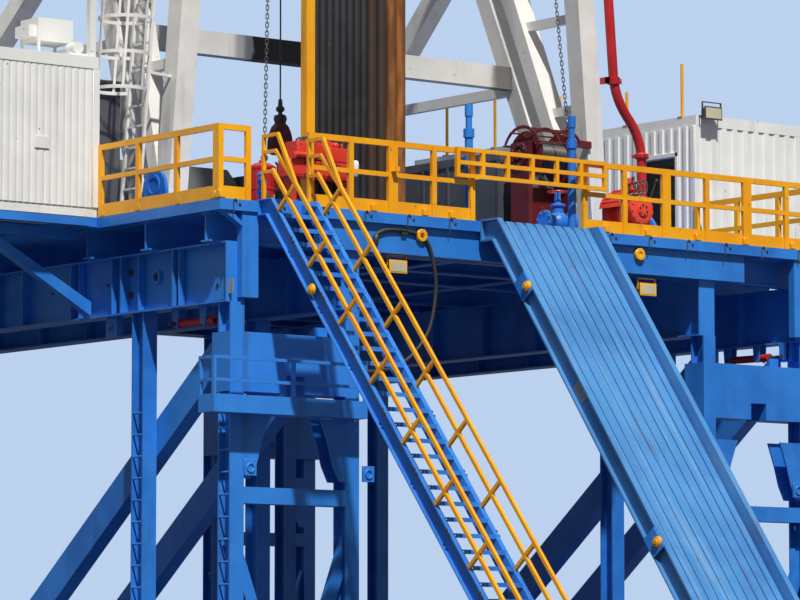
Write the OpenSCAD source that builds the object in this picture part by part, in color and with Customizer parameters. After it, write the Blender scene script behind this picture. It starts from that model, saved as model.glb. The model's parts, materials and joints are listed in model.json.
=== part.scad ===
// Land drilling rig with a high floor, a scale model at half size.
// x runs along the front edge of the drill floor from its middle,
// y runs back from that edge, and z is the height above the ground.

/* [Drill floor] */
// Height of the drill floor above the ground
floor_height = 4500; // [4300:50:4900]
// Width of the floor from side to side
floor_width = 6350; // [6200:50:6800]
// Depth of the floor from its front edge to its back edge
floor_depth = 7300; // [7200:50:7800]
// Thickness of the floor plates
deck_thickness = 85; // [60:5:100]
// Depth of the beams right under the floor plates
edge_beam_depth = 225; // [200:5:260]
// Width of those beams
edge_beam_width = 120; // [90:10:150]
// Recess of the edge beams behind the floor's edge
edge_recess = 45; // [20:5:70]
// Distance of the joists beside the well from its centre
joist_line = 700; // [500:20:900]
// Distance between cross joists in front of and behind the well
joist_pitch = 560; // [480:20:700]
// Reach of the front and back edge beams to each side of the middle
edge_reach = 2250; // [2000:50:2400]
// Side of the square opening for the rotary table
rotary_opening = 620; // [500:20:800]
// Diameter of the rotary table's bore
rotary_bore = 340; // [280:10:400]

/* [Girders] */
// Depth of the main girders
girder_depth = 465; // [400:5:550]
// Width of the main girders
girder_width = 170; // [140:10:200]
// Thickness of flanges and webs
plate = 14; // [10:1:20]
// Distance of the girder ends from the floor's front and back edges
girder_end_gap = 90; // [60:10:200]

/* [Towers] */
// Distance of the outer column line from the middle of the rig
outer_column = 2965; // [2900:5:3000]
// Distance of the inner column line from the middle of the rig
inner_column = 1865; // [1750:5:1950]
// Width of a column across the rig
column_width = 130; // [110:5:150]
// Depth of a column along the rig
column_depth = 160; // [140:5:200]
// Setback of the front columns from the front edge
front_row = 60; // [40:5:120]
// Setback of the second row of columns
second_row = 1225; // [1100:25:1400]
// Height of the underside of the tower head beam
head_bottom = 3045; // [3000:5:3100]
// Depth of the tower head beam
head_depth = 455; // [400:5:480]
// Width of the opening in the tower head
head_gap = 172; // [140:4:200]
// Height of that opening
head_gap_height = 137; // [110:5:160]
// Height of the top of the portal beam
portal_top = 2320; // [2100:10:2400]
// Depth of the portal beam
portal_depth = 125; // [100:5:160]
// Width of the gusset plates at the top of the portal
gusset_width = 245; // [200:5:280]
// Height of the gusset plates
gusset_height = 480; // [400:10:500]

/* [Base] */
// Width of the base boxes
base_width = 300; // [250:10:360]
// Height of the base boxes
base_height = 400; // [300:10:500]
// Reach of the base boxes past the floor edges
base_reach = 200; // [100:10:300]

/* [Diagonal legs] */
// Height of the upper end of the diagonal legs
diagonal_top = 3450; // [3400:10:3480]
// Distance of the lower end from the front edge
diagonal_run = 4300; // [4100:50:4500]
// Width of a diagonal leg
diagonal_width = 130; // [100:5:150]
// Depth of a diagonal leg
diagonal_depth = 230; // [180:5:260]

/* [Lower platform] */
// Height of the platform plate
platform_height = 2950; // [2900:5:2960]
// Depth of the platform skirt
platform_skirt = 85; // [60:5:95]
// Height of the platform's toe plate
platform_toe = 50; // [40:5:70]
// Reach of the platform past the outer columns
platform_wrap = 296; // [240:4:320]
// Reach of the platform in front of the columns
platform_reach = 200; // [150:10:250]
// Height of the platform rail
platform_rail = 340; // [300:10:400]

/* [Stair] */
// Distance of the stair's centre line from the middle of the rig
stair_line = 2595; // [2560:5:2640]
// Clear width between the stringers
stair_width = 375; // [360:5:400]
// Slope of the stair in degrees
stair_slope = 50.4; // [49:0.2:52]
// Number of treads
tread_count = 37; // [34:1:42]
// Depth of a tread
tread_depth = 105; // [90:5:120]
// Height over the floor's front edge of the line along the stringers' top
stringer_rise = 215; // [180:5:240]
// Depth of a stringer
stringer_depth = 134; // [110:2:150]
// Width of a stringer's flanges
stringer_thickness = 40; // [24:1:50]
// Thickness of a stringer's web and flanges
stringer_web = 8; // [6:1:12]
// Depth of the stringers' upper ends below the floor's top
stair_heel = 113; // [90:1:140]
// Height of the stair rail over the stringers, square to the slope
stair_rail_height = 280; // [260:5:320]
// Height of the stair's lower rail, square to the slope
stair_rail_low = 140; // [120:5:160]
// Width of the stair rail's bars
stair_rail_bar = 26; // [20:2:30]
// Height between the stair rail's posts
stair_post_pitch = 461; // [400:1:520]
// Height of the rail's end frame above the floor
stair_frame_height = 505; // [480:5:540]

/* [Ramp] */
// Distance of the ramp's left edge from the middle of the rig
ramp_left = -600; // [-640:5:-560]
// Width of the ramp over its side beams
ramp_width = 1030; // [980:10:1050]
// Slope of the ramp in degrees
ramp_slope = 53.4; // [52:0.2:55]
// Height over the floor's front edge of the line along the side beams' top
ramp_rise = 295; // [270:5:320]
// Depth of the ramp's side beams
ramp_beam = 160; // [130:5:180]
// Width of the side beams' flanges
ramp_flange = 50; // [40:2:60]
// Depth of the ramp's plate below the side beams' top
ramp_recess = 85; // [60:5:100]
// Number of ribs along the ramp
ramp_ribs = 10; // [8:1:12]
// Height of a rib
ramp_rib_height = 22; // [16:2:30]
// Depth of the side beams' upper ends below the floor's top
ramp_heel = 165; // [140:5:200]
// Height of the stair's and the ramp's top ends above the floor
ramp_lip = 10; // [5:1:20]

/* [Rails] */
// Height of the floor rails
rail_height = 575; // [520:5:640]
// Height of the middle bar
rail_middle = 310; // [280:5:360]
// Width of posts and top bars
rail_bar = 46; // [34:2:56]
// Thickness of posts and bars
rail_thickness = 30; // [24:2:40]
// Height of the toe board
toe_height = 100; // [80:5:120]

/* [V-door] */
// Left side of the gap in the front rail
gap_left = -670; // [-700:5:-640]
// Right side of the gap in the front rail
gap_right = 460; // [430:5:490]
// Overlap of the gate with the rails beside it
gate_overlap = 220; // [150:10:260]
// Height of the gate's lower bar above the floor
gate_bottom = 335; // [300:5:360]
// Thickness of the gate's tubes
gate_bar = 32; // [24:2:40]
// Clear space between the gate and the rails
gate_clearance = 12; // [8:1:20]
// Height of the blue posts
door_post_height = 950; // [800:10:1100]
// Diameter of the blue posts
door_post_diameter = 66; // [50:2:80]

/* [Houses] */
// Distance of the houses from the front edge
house_setback = 1675; // [1600:25:1800]
// Length of the houses along the rig
house_length = 4000; // [3500:50:4500]
// Width of the houses
house_width = 1250; // [1100:50:1400]
// Height of the house walls
house_height = 1180; // [1100:10:1250]
// Thickness of the house walls
house_wall = 40; // [25:5:60]
// Height of the roof cap
roof_height = 95; // [60:5:120]
// Overhang of the roof cap
roof_overhang = 15; // [5:5:40]
// Extra height of the house on the right
cabin_extra = 95; // [60:5:120]
// Depth of the skids under the houses
skid_depth = 75; // [60:5:100]
// Thickness of the houses' floors
house_floor = 20; // [15:5:40]
// Distance of the doorway from the house's front wall
door_place = 250; // [200:10:350]
// Width of the doorway
door_width = 450; // [400:10:500]
// Height of the doorway's head above the drill floor
door_height = 1020; // [950:10:1080]
// Distance of the window from the house's front wall
window_place = 2500; // [2300:50:2700]
// Width of the window
window_width = 800; // [600:50:1000]
// Height of the window sill above the drill floor
window_sill = 500; // [400:10:600]

/* [Mast] */
// Height of the mast's foot pins above the floor
mast_foot_height = 150; // [120:5:180]
// Half of the distance between the feet
mast_foot_half = 2260; // [2220:10:2300]
// Half of the distance between the front legs at the top
mast_top_half = 600; // [550:10:700]
// Height of the top of the mast
mast_top = 26000; // [25500:50:26500]
// Setback of the front legs from the front edge
mast_setback = 1975; // [1950:5:2000]
// Depth of the mast from front leg to rear leg
mast_depth = 1200; // [1150:10:1250]
// Lean of the lower rear leg, run over rise
mast_lean = 0.375; // [0.36:0.005:0.39]
// Width and depth of a leg
leg_size = 185; // [150:5:200]
// Width of the mast's braces
brace_width = 80; // [60:5:100]
// Number of bays up the mast
mast_bays = 15; // [12:1:18]

/* [A-frame] */
// Setback of the A-frame's front feet
a_front = 2265; // [2255:5:2290]
// Height of the apex above the floor
a_height = 3070; // [2900:10:3200]
// Run of the rear legs, from apex to foot
a_rear_run = 3520; // [3400:10:3600]
// Size of the A-frame's legs
a_leg = 170; // [140:5:180]
// Height of the white beam above the floor
a_beam_height = 1730; // [1700:10:1900]
// Depth of the white beam
a_beam_depth = 200; // [150:5:220]

/* [Pipe] */
// Setback of the row of pipe
pipe_row = 675; // [640:5:700]
// Distance of the first stand from the middle of the rig
pipe_left = -1772; // [-1790:2:-1760]
// Diameter of a stand of drill pipe
pipe_diameter = 62; // [50:1:64]
// Distance between stands
pipe_pitch = 68; // [66:1:70]
// Number of stands of drill pipe
pipe_count = 8; // [7:1:9]
// Diameter of the heavier stands beside them
collar_diameter = 88; // [80:1:92]
// Distance between the heavier stands
collar_pitch = 98; // [94:1:102]
// Number of heavier stands
collar_count = 4; // [3:1:5]
// Length of a stand
pipe_length = 13700; // [13000:100:14000]
// Height of the setback mat
mat_height = 150; // [100:10:200]
// Width of the post beside the stands
guard_width = 80; // [70:2:90]

/* [Racking board] */
// Height of the racking board above the floor
board_height = 12700; // [12000:100:13200]
// Half of the racking board's width
board_half = 2100; // [2000:20:2300]
// Distance between the racking board's fingers
finger_pitch = 165; // [150:5:180]
// Height of the board's ties above the board
tie_rise = 2200; // [1800:50:2600]

/* [Hoist] */
// Diameter of a sheave
sheave = 700; // [640:10:760]
// Number of sheaves
sheave_count = 6; // [4:1:7]
// Distance between sheaves
sheave_pitch = 84; // [76:2:90]
// Diameter of the hoisting line
line = 16; // [12:1:20]
// Height of the crown's axle above the mast
crown_rise = 430; // [400:10:460]
// Height of the travelling block above the ground
block_height = 15000; // [14000:100:15800]

/* [Floor equipment] */
// Diameter of the winch flanges
winch_flange = 420; // [380:10:440]
// Width of the winch drum
winch_width = 380; // [300:10:420]
// Diameter of the winch shaft
winch_shaft = 80; // [60:5:100]
// Diameter of the standpipe
standpipe_diameter = 85; // [60:5:95]
// Distance that the standpipe steps outward above the floor
standpipe_step = 310; // [260:10:330]
// Height of the lower bend of the standpipe above the floor
standpipe_bend = 1110; // [1000:10:1200]
// Height of the upper bend of the standpipe above the floor
standpipe_shoulder = 1470; // [1400:10:1550]
// Length of the standpipe along the mast
standpipe_length = 9500; // [9000:100:10000]
// Length of the mast's ladder
ladder_length = 11000; // [10000:100:12000]
// Distance between rungs
rung_pitch = 170; // [150:5:200]
// Distance of the winch from the middle of the rig
winch_line = 1210; // [1190:5:1240]
// Setback of the winch
winch_setback = 1425; // [1400:5:1450]
// Height of the winch's axle above the floor
winch_axle = 805; // [780:5:830]
// Clear space round the winch's axle
winch_bearing = 1; // [0.5:0.5:2]
// Left side of the power unit
unit_left = 1010; // [1000:10:1060]
// Setback of the power unit
unit_setback = 1760; // [1740:10:1900]
// Width of the power unit
unit_width = 760; // [700:10:800]
// Length of the power unit
unit_length = 2100; // [1800:50:2200]
// Height of the power unit
unit_height = 865; // [800:5:950]
// Left side of the driller's cabin
cabin_left = -3120; // [-3130:5:-3100]
// Setback of the driller's cabin
cabin_setback = 2380; // [2300:10:2500]
// Width of the driller's cabin
cabin_width = 640; // [600:5:645]
// Length of the driller's cabin
cabin_length = 1100; // [900:10:1200]
// Height of the driller's cabin
cabin_height = 1180; // [1100:10:1250]
// Distance of the hoist line from the middle of the rig
hook_line = 1160; // [1130:5:1180]

/* [Hidden] */

blue = "#2f86e6";
yellow = "#ffb000";
pale = "#e4e3dd";
grey = "#6f747a";
red = "#c8202c";
dark_red = "#6e1420";
orange_red = "#ff5140";
steel = "#4a4744";

left = -1;
right = 1;
seat = 0.3;

// The well centre lies under the middle of the mast.
well_setback = mast_setback + mast_depth / 2;
mast_foot = floor_height + mast_foot_height;
taper = (mast_foot_half - mast_top_half) / (mast_top - mast_foot);
knee = mast_foot + mast_depth / mast_lean;
crown_axis = mast_top + crown_rise;
winch_place = [winch_line, winch_setback, floor_height + winch_axle];
deck_bottom = floor_height - deck_thickness;
girder_top = deck_bottom - edge_beam_depth;
girder_bottom = girder_top - girder_depth;
head_top = head_bottom + head_depth;
rear_row = floor_depth - front_row - column_depth;
third_row = floor_depth - second_row - column_depth;

rail_front_y = 20;

// Overall reach, used to put the origin in the middle of the footprint.
rig_front = -seat - (floor_height + stringer_rise) / tan(stair_slope);
rig_back = floor_depth + base_reach;
rig_middle = (rig_front + rig_back) / 2;

module place() {
    translate([0, -rig_middle, 0]) children();
}

// A box between two corners.
module block(low, high) {
    translate(low) cube(high - low);
}

// A straight square bar from one point to another.
module bar(from, to, width, depth) {
    span = to - from;
    length = norm(span);
    translate(from)
        rotate([0, acos(span[2] / length), atan2(span[1], span[0])])
            translate([-width / 2, -depth / 2, 0])
                cube([width, depth, length]);
}

// Mirrors what is drawn on the right side over to the left side.
module on_side(side) {
    if (side == left) mirror([1, 0, 0]) children();
    else children();
}

// An I-shaped outline, flanges above and below.
module i_outline(width, depth) {
    translate([-width / 2, 0]) square([width, plate]);
    translate([-width / 2, depth - plate]) square([width, plate]);
    translate([-plate / 2, 0]) square([plate, depth]);
}

// An I-beam along y, standing on z = 0.
module beam_along_y(width, depth, length) {
    translate([0, length, 0]) rotate([90, 0, 0]) linear_extrude(length) i_outline(width, depth);
}

// An I-beam along x, standing on z = 0.
module beam_along_x(width, depth, length) {
    rotate([90, 0, 90]) linear_extrude(length) i_outline(width, depth);
}

// An H-shaped column whose flanges face front and back.
module column(height) {
    linear_extrude(height) {
        translate([-column_width / 2, 0]) square([column_width, plate]);
        translate([-column_width / 2, column_depth - plate]) square([column_width, plate]);
        translate([-plate / 2, 0]) square([plate, column_depth]);
    }
}

module base(side) {
    color(blue) place() on_side(side) {
        for (x = [inner_column, outer_column])
            block([x - base_width / 2, -base_reach, 0],
                  [x + base_width / 2, floor_depth + base_reach, base_height]);
        for (y = [front_row, second_row, (floor_depth - column_depth) / 2, third_row, rear_row])
            block([inner_column, y, base_height / 4],
                  [outer_column, y + column_depth, base_height * 3 / 4]);
    }
}

module base_spreaders() {
    inside = inner_column - base_width / 2;
    color(blue) place()
        for (y = [front_row, second_row, third_row, rear_row])
            block([-inside, y, base_height / 4], [inside, y + column_depth, base_height * 3 / 4]);
}

// A plate between a column's flange and the platform, narrower toward its foot.
module gusset(corner, toward, y) {
    top = platform_height - platform_skirt - seat;
    reach = toward * gusset_width;
    translate([corner, y + plate, top]) rotate([90, 0, 0]) linear_extrude(plate)
        polygon([[-toward * 2, 0], [reach, 0], [reach * 0.7, -gusset_height * 0.4],
                 [reach * 0.5, -gusset_height * 0.75], [reach * 0.25, -gusset_height],
                 [-toward * 2, -gusset_height]]);
}

// Two columns with a portal beam, gussets and V braces below.
module portal(row) {
    inside = inner_column + column_width / 2;
    outside = outer_column - column_width / 2;
    middle = (inside + outside) / 2;
    brace_top = portal_top - portal_depth - 250;
    for (x = [inner_column, outer_column])
        translate([x, row, base_height]) column(head_bottom - base_height);
    block([inside, row, portal_top - portal_depth], [outside, row + column_depth, portal_top]);
    for (y = [row, row + column_depth - plate]) {
        gusset(inside, 1, y);
        gusset(outside, -1, y);
    }
    for (x = [inner_column, outer_column])
        bar([x, row + column_depth / 2, brace_top],
            [middle, row + column_depth / 2, base_height + 60], 100, 60);
    block([middle - 90, row + 30, base_height], [middle + 90, row + column_depth - 30, base_height + 90]);
}

// The deep box beam on top of a tower, with an opening in its lower edge and posts up to the girders.
module tower_head(row, front, back) {
    low = inner_column - column_width / 2;
    high = outer_column + column_width / 2;
    middle = (low + high) / 2;
    difference() {
        block([low, front, head_bottom], [high, back, head_top]);
        block([middle - head_gap / 2, front - 1, head_bottom - 1],
              [middle + head_gap / 2, back + 1, head_bottom + head_gap_height]);
    }
    for (x = [inner_column, outer_column])
        translate([x, row, head_top]) column(girder_bottom - head_top);
}

module front_tower(side) {
    color(blue) place() on_side(side) {
        portal(front_row);
        tower_head(front_row, front_row, front_row + column_depth + 80);
    }
}

module rear_tower(side) {
    color(blue) place() on_side(side) {
        portal(rear_row);
        tower_head(rear_row, rear_row - 80, rear_row + column_depth);
    }
}

module middle_columns(side) {
    color(blue) place() on_side(side)
        for (row = [second_row, third_row]) {
            for (x = [inner_column, outer_column])
                translate([x, row, base_height]) column(girder_bottom - base_height);
        }
}

// Sloping box legs from the tower head down to the base boxes.
module diagonal_legs(side) {
    foot = [0, diagonal_run, base_height];
    top = [0, front_row + column_depth + 80, diagonal_top];
    color(blue) place() on_side(side)
        for (x = [inner_column + column_width / 2 + diagonal_width / 2 + seat,
                  outer_column - column_width / 2 - diagonal_width / 2 - seat])
            intersection() {
                bar([x, 2 * foot[1] - top[1], 2 * foot[2] - top[2]],
                    [x, 2 * top[1] - foot[1], 2 * top[2] - foot[2]],
                    diagonal_depth, diagonal_width);
                block([0, top[1] + seat, base_height], [floor_width, floor_depth, girder_bottom]);
            }
}

module girders(side) {
    length = floor_depth - 2 * girder_end_gap;
    color(blue) place() on_side(side)
        for (x = [inner_column, outer_column])
            translate([x, girder_end_gap, girder_bottom]) {
                beam_along_y(girder_width, girder_depth, length);
                for (y = [0, length - plate])
                    translate([-girder_width / 2, y, 0]) cube([girder_width, plate, girder_depth]);
                for (i = [1 : 9])
                    translate([-girder_width / 2, i * length / 10, plate / 2])
                        cube([girder_width, plate, girder_depth - plate]);
            }
}

// Posts on the girder ends, with struts out to the corners of the floor.
module corner_posts() {
    width = 150;
    thickness = 70;
    strut = 90;
    x = outer_column - width / 2 - 15;
    foot = girder_bottom + 35;
    top = deck_bottom;
    color(blue) place()
        for (side = [left, right])
            on_side(side)
                for (y = [girder_end_gap - thickness, floor_depth - girder_end_gap])
                    translate([0, y + thickness, 0]) rotate([90, 0, 0]) linear_extrude(thickness) {
                        translate([x - width / 2, foot]) square([width, top - foot]);
                        polygon([[floor_width / 2 - 35, top], [floor_width / 2 - 35 - strut, top],
                                 [x, top - 155], [x, top - 235], [x + width / 2, top - 115]]);
                    }
}

// Channels under the front and back edges of the floor, with their webs outward.
module floor_frame() {
    lip = edge_beam_width;
    color(blue) place()
        for (y = [edge_recess, floor_depth - edge_recess - lip])
            translate([-edge_reach, y, girder_top])
                difference() {
                    cube([2 * edge_reach, lip, edge_beam_depth]);
                    translate([-1, y < well_setback ? plate : -plate, plate])
                        cube([2 * edge_reach + 2, lip, edge_beam_depth - 2 * plate]);
                }
}

// Setbacks of the cross joists, with the open bay round the well left free.
joist_first = edge_recess + edge_beam_width + 90;
joist_last = floor_depth - joist_first;
joist_low = well_setback - joist_line;
joist_high = well_setback + joist_line;
joists_before = floor((joist_low - joist_first) / joist_pitch);
joists_behind = floor((joist_last - joist_high) / joist_pitch);
front_step = (joist_low - joist_first) / joists_before;
back_step = (joist_last - joist_high) / joists_behind;
joist_rows = concat([for (i = [0 : joists_before]) joist_first + i * front_step],
                    [for (i = [0 : joists_behind]) joist_high + i * back_step]);

// I-beams across the girders, with shorter ones between them on both sides of the well.
module floor_joists() {
    half = edge_beam_width / 2;
    reach = floor_width / 2 - edge_recess;
    color(blue) place() {
        for (y = joist_rows)
            translate([-reach, y, girder_top]) beam_along_x(edge_beam_width, edge_beam_depth, 2 * reach);
        for (i = [1 : len(joist_rows) - 1])
            for (x = [-joist_line, joist_line])
                translate([x, joist_rows[i - 1] + half + seat, girder_top])
                    beam_along_y(edge_beam_width, edge_beam_depth,
                                 joist_rows[i] - joist_rows[i - 1] - edge_beam_width - 2 * seat);
    }
}

module floor_plates() {
    half = floor_width / 2;
    hole = rotary_opening / 2;
    mat_x = pipe_left - pipe_diameter - guard_width;
    mat_right = collar_left + (collar_count - 0.5) * collar_pitch;
    color(blue) place() {
        difference() {
            block([-half, 0, deck_bottom], [half, floor_depth, floor_height]);
            block([-hole, well_setback - hole, deck_bottom - 1],
                  [hole, well_setback + hole, floor_height + 1]);
        }
        block([mat_x, pipe_row - 90, floor_height], [mat_right, pipe_row + 90, floor_height + mat_height]);
    }
}

// A square casing let into the floor, with a raised round table and the well's bore.
module rotary_table() {
    side = rotary_opening - 2 * seat;
    rise = 40;
    color(grey) place() translate([0, well_setback, deck_bottom])
        difference() {
            union() {
                translate([-side / 2, -side / 2, 0]) cube([side, side, deck_thickness]);
                cylinder(h = deck_thickness + rise, d = rotary_opening - 90, $fn = 48);
            }
            translate([0, 0, -1]) cylinder(h = deck_thickness + rise + 2, d = rotary_bore, $fn = 48);
        }
}

module lower_platform() {
    low = inner_column + 8;
    high = outer_column + column_width / 2 + platform_wrap;
    front = front_row - platform_reach;
    back = front_row - seat;
    toe = platform_height + platform_toe;
    rail_z = platform_height + platform_rail;
    bar_depth = 24;
    color(blue) place() mirror([1, 0, 0]) {
        block([low, front, platform_height - platform_skirt], [high, back, platform_height]);
        block([low, front, platform_height - 1], [high, front + plate, toe]);
        block([high - plate, front, platform_height - 1], [high, back, toe]);
        for (x = [low, (low + high) / 2 - 40, high - bar_depth])
            block([x, front, platform_height], [x + bar_depth, front + rail_thickness, rail_z]);
        block([high - bar_depth, back - bar_depth, platform_height], [high, back, rail_z]);
        for (z = [platform_height + platform_rail / 2, rail_z]) {
            block([low, front, z - bar_depth], [high, front + bar_depth, z]);
            block([high - bar_depth, front, z - bar_depth], [high, back, z]);
        }
    }
}

// The y of the stringers' top line at a height.
function stair_line_y(z) = -seat - (floor_height + stringer_rise - z) / tan(stair_slope);

// Distance from the floor's edge to a sloping line, at a height above the floor.
function run_at(slope, rise, depth, z) = (rise - depth / cos(slope) - z) / tan(slope);

// Outline of a sloping beam against the floor's edge, between two depths below its top line.
// The first axis runs out from the floor, and the second goes up from floor level.
// The upper end is cut level at the lip above the floor, and at the heel below it.
module sloping_outline(slope, rise, from_depth, to_depth, start, lip, heel, foot = -floor_height) {
    polygon([[start, lip], [run_at(slope, rise, from_depth, lip), lip],
             [run_at(slope, rise, from_depth, foot), foot], [run_at(slope, rise, to_depth, foot), foot],
             [run_at(slope, rise, to_depth, heel), heel], [start, heel]]);
}

// A sloping channel with its web on x = 0 and its flanges toward the given side.
module sloping_channel(slope, rise, depth, flange, web, heel, toward) {
    rotate([90, 0, -90]) {
        translate([0, 0, toward < 0 ? 0 : -web])
            linear_extrude(web) sloping_outline(slope, rise, 0, depth, 0, ramp_lip, heel);
        translate([0, 0, toward < 0 ? 0 : -flange])
            linear_extrude(flange) difference() {
                sloping_outline(slope, rise, 0, depth, 0, ramp_lip, heel);
                sloping_outline(slope, rise, web, depth - web, web, ramp_lip - web, heel + web,
                                -floor_height - 1);
            }
    }
}

module stair_stringers() {
    color(blue) place() translate([-stair_line, -seat, floor_height])
        for (s = [-1, 1])
            translate([s * stair_width / 2, 0, 0])
                sloping_channel(stair_slope, stringer_rise, stringer_depth, stringer_thickness, stringer_web,
                                -stair_heel, s);
}

// Bent plates with a front lip, each a solid of its own.
module stair_treads() {
    rise = floor_height / (tread_count + 1);
    sunk = 20 / cos(stair_slope);
    lip = 32;
    color(blue) place()
        for (i = [0 : tread_count]) {
            top = floor_height - i * rise;
            back = min(-2 * seat, stair_line_y(top + sunk) + tread_depth / 2);
            translate([-stair_line + stair_width / 2 - seat, back, top]) rotate([90, 0, -90])
                linear_extrude(stair_width - 2 * seat)
                    polygon([[0, 0], [tread_depth, 0], [tread_depth, -lip], [tread_depth - 6, -lip],
                             [tread_depth - 6, -6], [0, -6]]);
        }
}

// A place beside the stringers' top line, as the distance out from the floor and the height over it.
// The height is that of the line, and the place lies square to the line by the given distance.
function beside_stair(height, up) =
    [(stringer_rise - height) / tan(stair_slope) + up * sin(stair_slope), height + up * cos(stair_slope)];

// One stair rail, drawn flat: two sloping bars, posts square to them and an upright end frame.
module stair_rail_outline() {
    w = stair_rail_bar;
    first = -90;
    post_count = floor((floor_height - 250) / stair_post_pitch);
    last = first - (post_count - 1) * stair_post_pitch - 60;
    top = stair_frame_height;
    middle = top - 125;
    low = 228;
    low_reach = beside_stair(low - stair_rail_low * cos(stair_slope), stair_rail_low)[0];
    for (up = [stair_rail_height, stair_rail_low])
        flat_bar(beside_stair(up == stair_rail_low ? low - up * cos(stair_slope) : first, up),
                 beside_stair(last, up), w);
    for (i = [0 : post_count - 1])
        flat_bar(beside_stair(first - i * stair_post_pitch, 2 * seat),
                 beside_stair(first - i * stair_post_pitch, stair_rail_height), w);
    translate([60 - w / 2, ramp_lip + seat]) square([w, top - ramp_lip - seat]);
    translate([60, top - w]) square([190, w]);
    translate([60, middle - w]) square([165, w]);
    translate([60, low - w]) square([low_reach - 60, w]);
    for (upper = [[240, top - w / 2], [215, middle - w / 2]])
        flat_bar(upper, beside_stair(first, stair_rail_height), w);
}

// Rails on the stringers' outer edges.
module stair_rails() {
    reach = stair_width / 2 + stringer_thickness;
    color(yellow) place()
        for (x = [-stair_line - reach + stair_rail_bar, -stair_line + reach])
            translate([x, -seat, floor_height]) rotate([90, 0, -90])
                linear_extrude(stair_rail_bar) stair_rail_outline();
}

// A ribbed plate sunk between two deep channels. It leans on the floor's edge.
module ramp() {
    inside = ramp_left + plate;
    width = ramp_width - 2 * plate;
    pitch = width / ramp_ribs;
    under = ramp_recess + 30;
    color(blue) place() translate([0, -seat, floor_height]) {
        translate([ramp_left + plate, 0, 0])
            sloping_channel(ramp_slope, ramp_rise, ramp_beam, ramp_flange, plate, -ramp_heel, -1);
        translate([ramp_left + ramp_width - plate, 0, 0])
            sloping_channel(ramp_slope, ramp_rise, ramp_beam, ramp_flange, plate, -ramp_heel, 1);
        translate([inside + width, 0, 0]) rotate([90, 0, -90]) linear_extrude(width)
            sloping_outline(ramp_slope, ramp_rise, ramp_recess + ramp_rib_height, under, 0, 0, -20);
        for (i = [0 : ramp_ribs - 1])
            translate([inside + (i + 0.8) * pitch, 0, 0]) rotate([90, 0, -90]) linear_extrude(pitch * 0.6)
                sloping_outline(ramp_slope, ramp_rise, ramp_recess, under - 1, 1, 0, -19);
    }
}

// A flat rail panel in the x-z plane with posts at the given places.
module rail_panel(length, posts) {
    rotate([90, 0, 0]) translate([0, 0, -rail_thickness]) {
        linear_extrude(rail_thickness) {
            translate([0, rail_height - rail_bar]) square([length, rail_bar]);
            translate([0, rail_middle - rail_bar / 2]) square([length, rail_bar * 0.8]);
            for (p = posts) translate([p, 0]) square([rail_bar, rail_height]);
        }
        linear_extrude(rail_thickness / 2) square([length, toe_height]);
    }
}

function spread(length, bays) = [for (i = [0 : bays]) i * (length - rail_bar) / bays];

module rail_left() {
    start = rail_front_y + rail_thickness + seat;
    length = house_setback - roof_overhang - start - seat;
    color(yellow) place() translate([-floor_width / 2 + rail_thickness, start, floor_height])
        rotate([0, 0, 90]) rail_panel(length, spread(length, 3));
}

module rail_front() {
    half = floor_width / 2;
    stair_left = -stair_line - stair_width / 2 - stringer_thickness - 48;
    stair_right = -stair_line + stair_width / 2 + stringer_thickness + 48;
    corner = stair_left + half;
    first = (gap_left - stair_right) / 2;
    last = (half - gap_right) / 3;
    color(yellow) place() {
        translate([0, rail_front_y, floor_height]) {
            translate([-half, 0, 0]) rail_panel(corner, spread(corner, 1));
            for (i = [0, 1])
                translate([stair_right + i * first, 0, 0]) rail_panel(first, spread(first, 2));
            for (i = [0 : 2])
                translate([gap_right + i * last, 0, 0]) rail_panel(last, spread(last, 2));
        }
        for (x = [gap_left - rail_bar, gap_right])
            gate_keeper(x);
        gate_keeper(stair_right + first - rail_bar / 2);
    }
}

// A hook bolted to a rail post, under and in front of the gate's lower bar.
module gate_keeper(x) {
    bar_bottom = floor_height + gate_bottom;
    back = rail_front_y + 2;
    front = rail_front_y - gate_clearance - gate_bar - gate_clearance / 2;
    block([x, front - 6, bar_bottom - 8 - seat], [x + rail_bar, back, bar_bottom - seat]);
    block([x, front - 6, bar_bottom - 8 - seat], [x + rail_bar, front, bar_bottom + gate_bar]);
}

module rail_right() {
    start = rail_front_y + rail_thickness + seat;
    length = house_setback - roof_overhang - start - seat;
    color(yellow) place() translate([floor_width / 2 - rail_thickness, start, floor_height])
        mirror([1, 0, 0]) rotate([0, 0, 90]) rail_panel(length, spread(length, 3));
}

module rail_back() {
    length = floor_width / 4;
    color(yellow) place()
        for (i = [0 : 3])
            translate([-floor_width / 2 + i * length, floor_depth - rail_thickness, floor_height])
                rail_panel(length, spread(length, 2));
}

module vdoor_gate() {
    low = gap_left - gate_overlap;
    high = gap_right + gate_overlap;
    length = high - low;
    height = rail_height - gate_bottom;
    color(yellow) place()
        translate([low, rail_front_y - gate_clearance, floor_height + gate_bottom]) rotate([90, 0, 0])
            linear_extrude(gate_bar) {
                for (z = [0, height / 2 - gate_bar / 2, height - gate_bar])
                    translate([0, z]) square([length, gate_bar]);
                for (i = [0 : 6])
                    translate([i * (length - gate_bar) / 6, 0]) square([gate_bar, height]);
            }
}

// Hydraulic posts on foot plates, with a collar and a cap.
module vdoor_posts() {
    d = door_post_diameter;
    color(blue) place()
        for (x = [gap_left + 32, gap_right - 20])
            translate([x, rail_front_y + rail_thickness + 90, floor_height]) {
                cylinder(h = 20, d = 2 * d, $fn = 32);
                cylinder(h = door_post_height * 0.72, d = d, $fn = 32);
                cylinder(h = door_post_height, d = d * 0.8, $fn = 32);
                translate([0, 0, door_post_height * 0.72]) cylinder(h = 70, d = 1.35 * d, $fn = 32);
                translate([0, 0, door_post_height * 0.9])
                    cylinder(h = door_post_height * 0.1, d = d, $fn = 32);
            }
}

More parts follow.
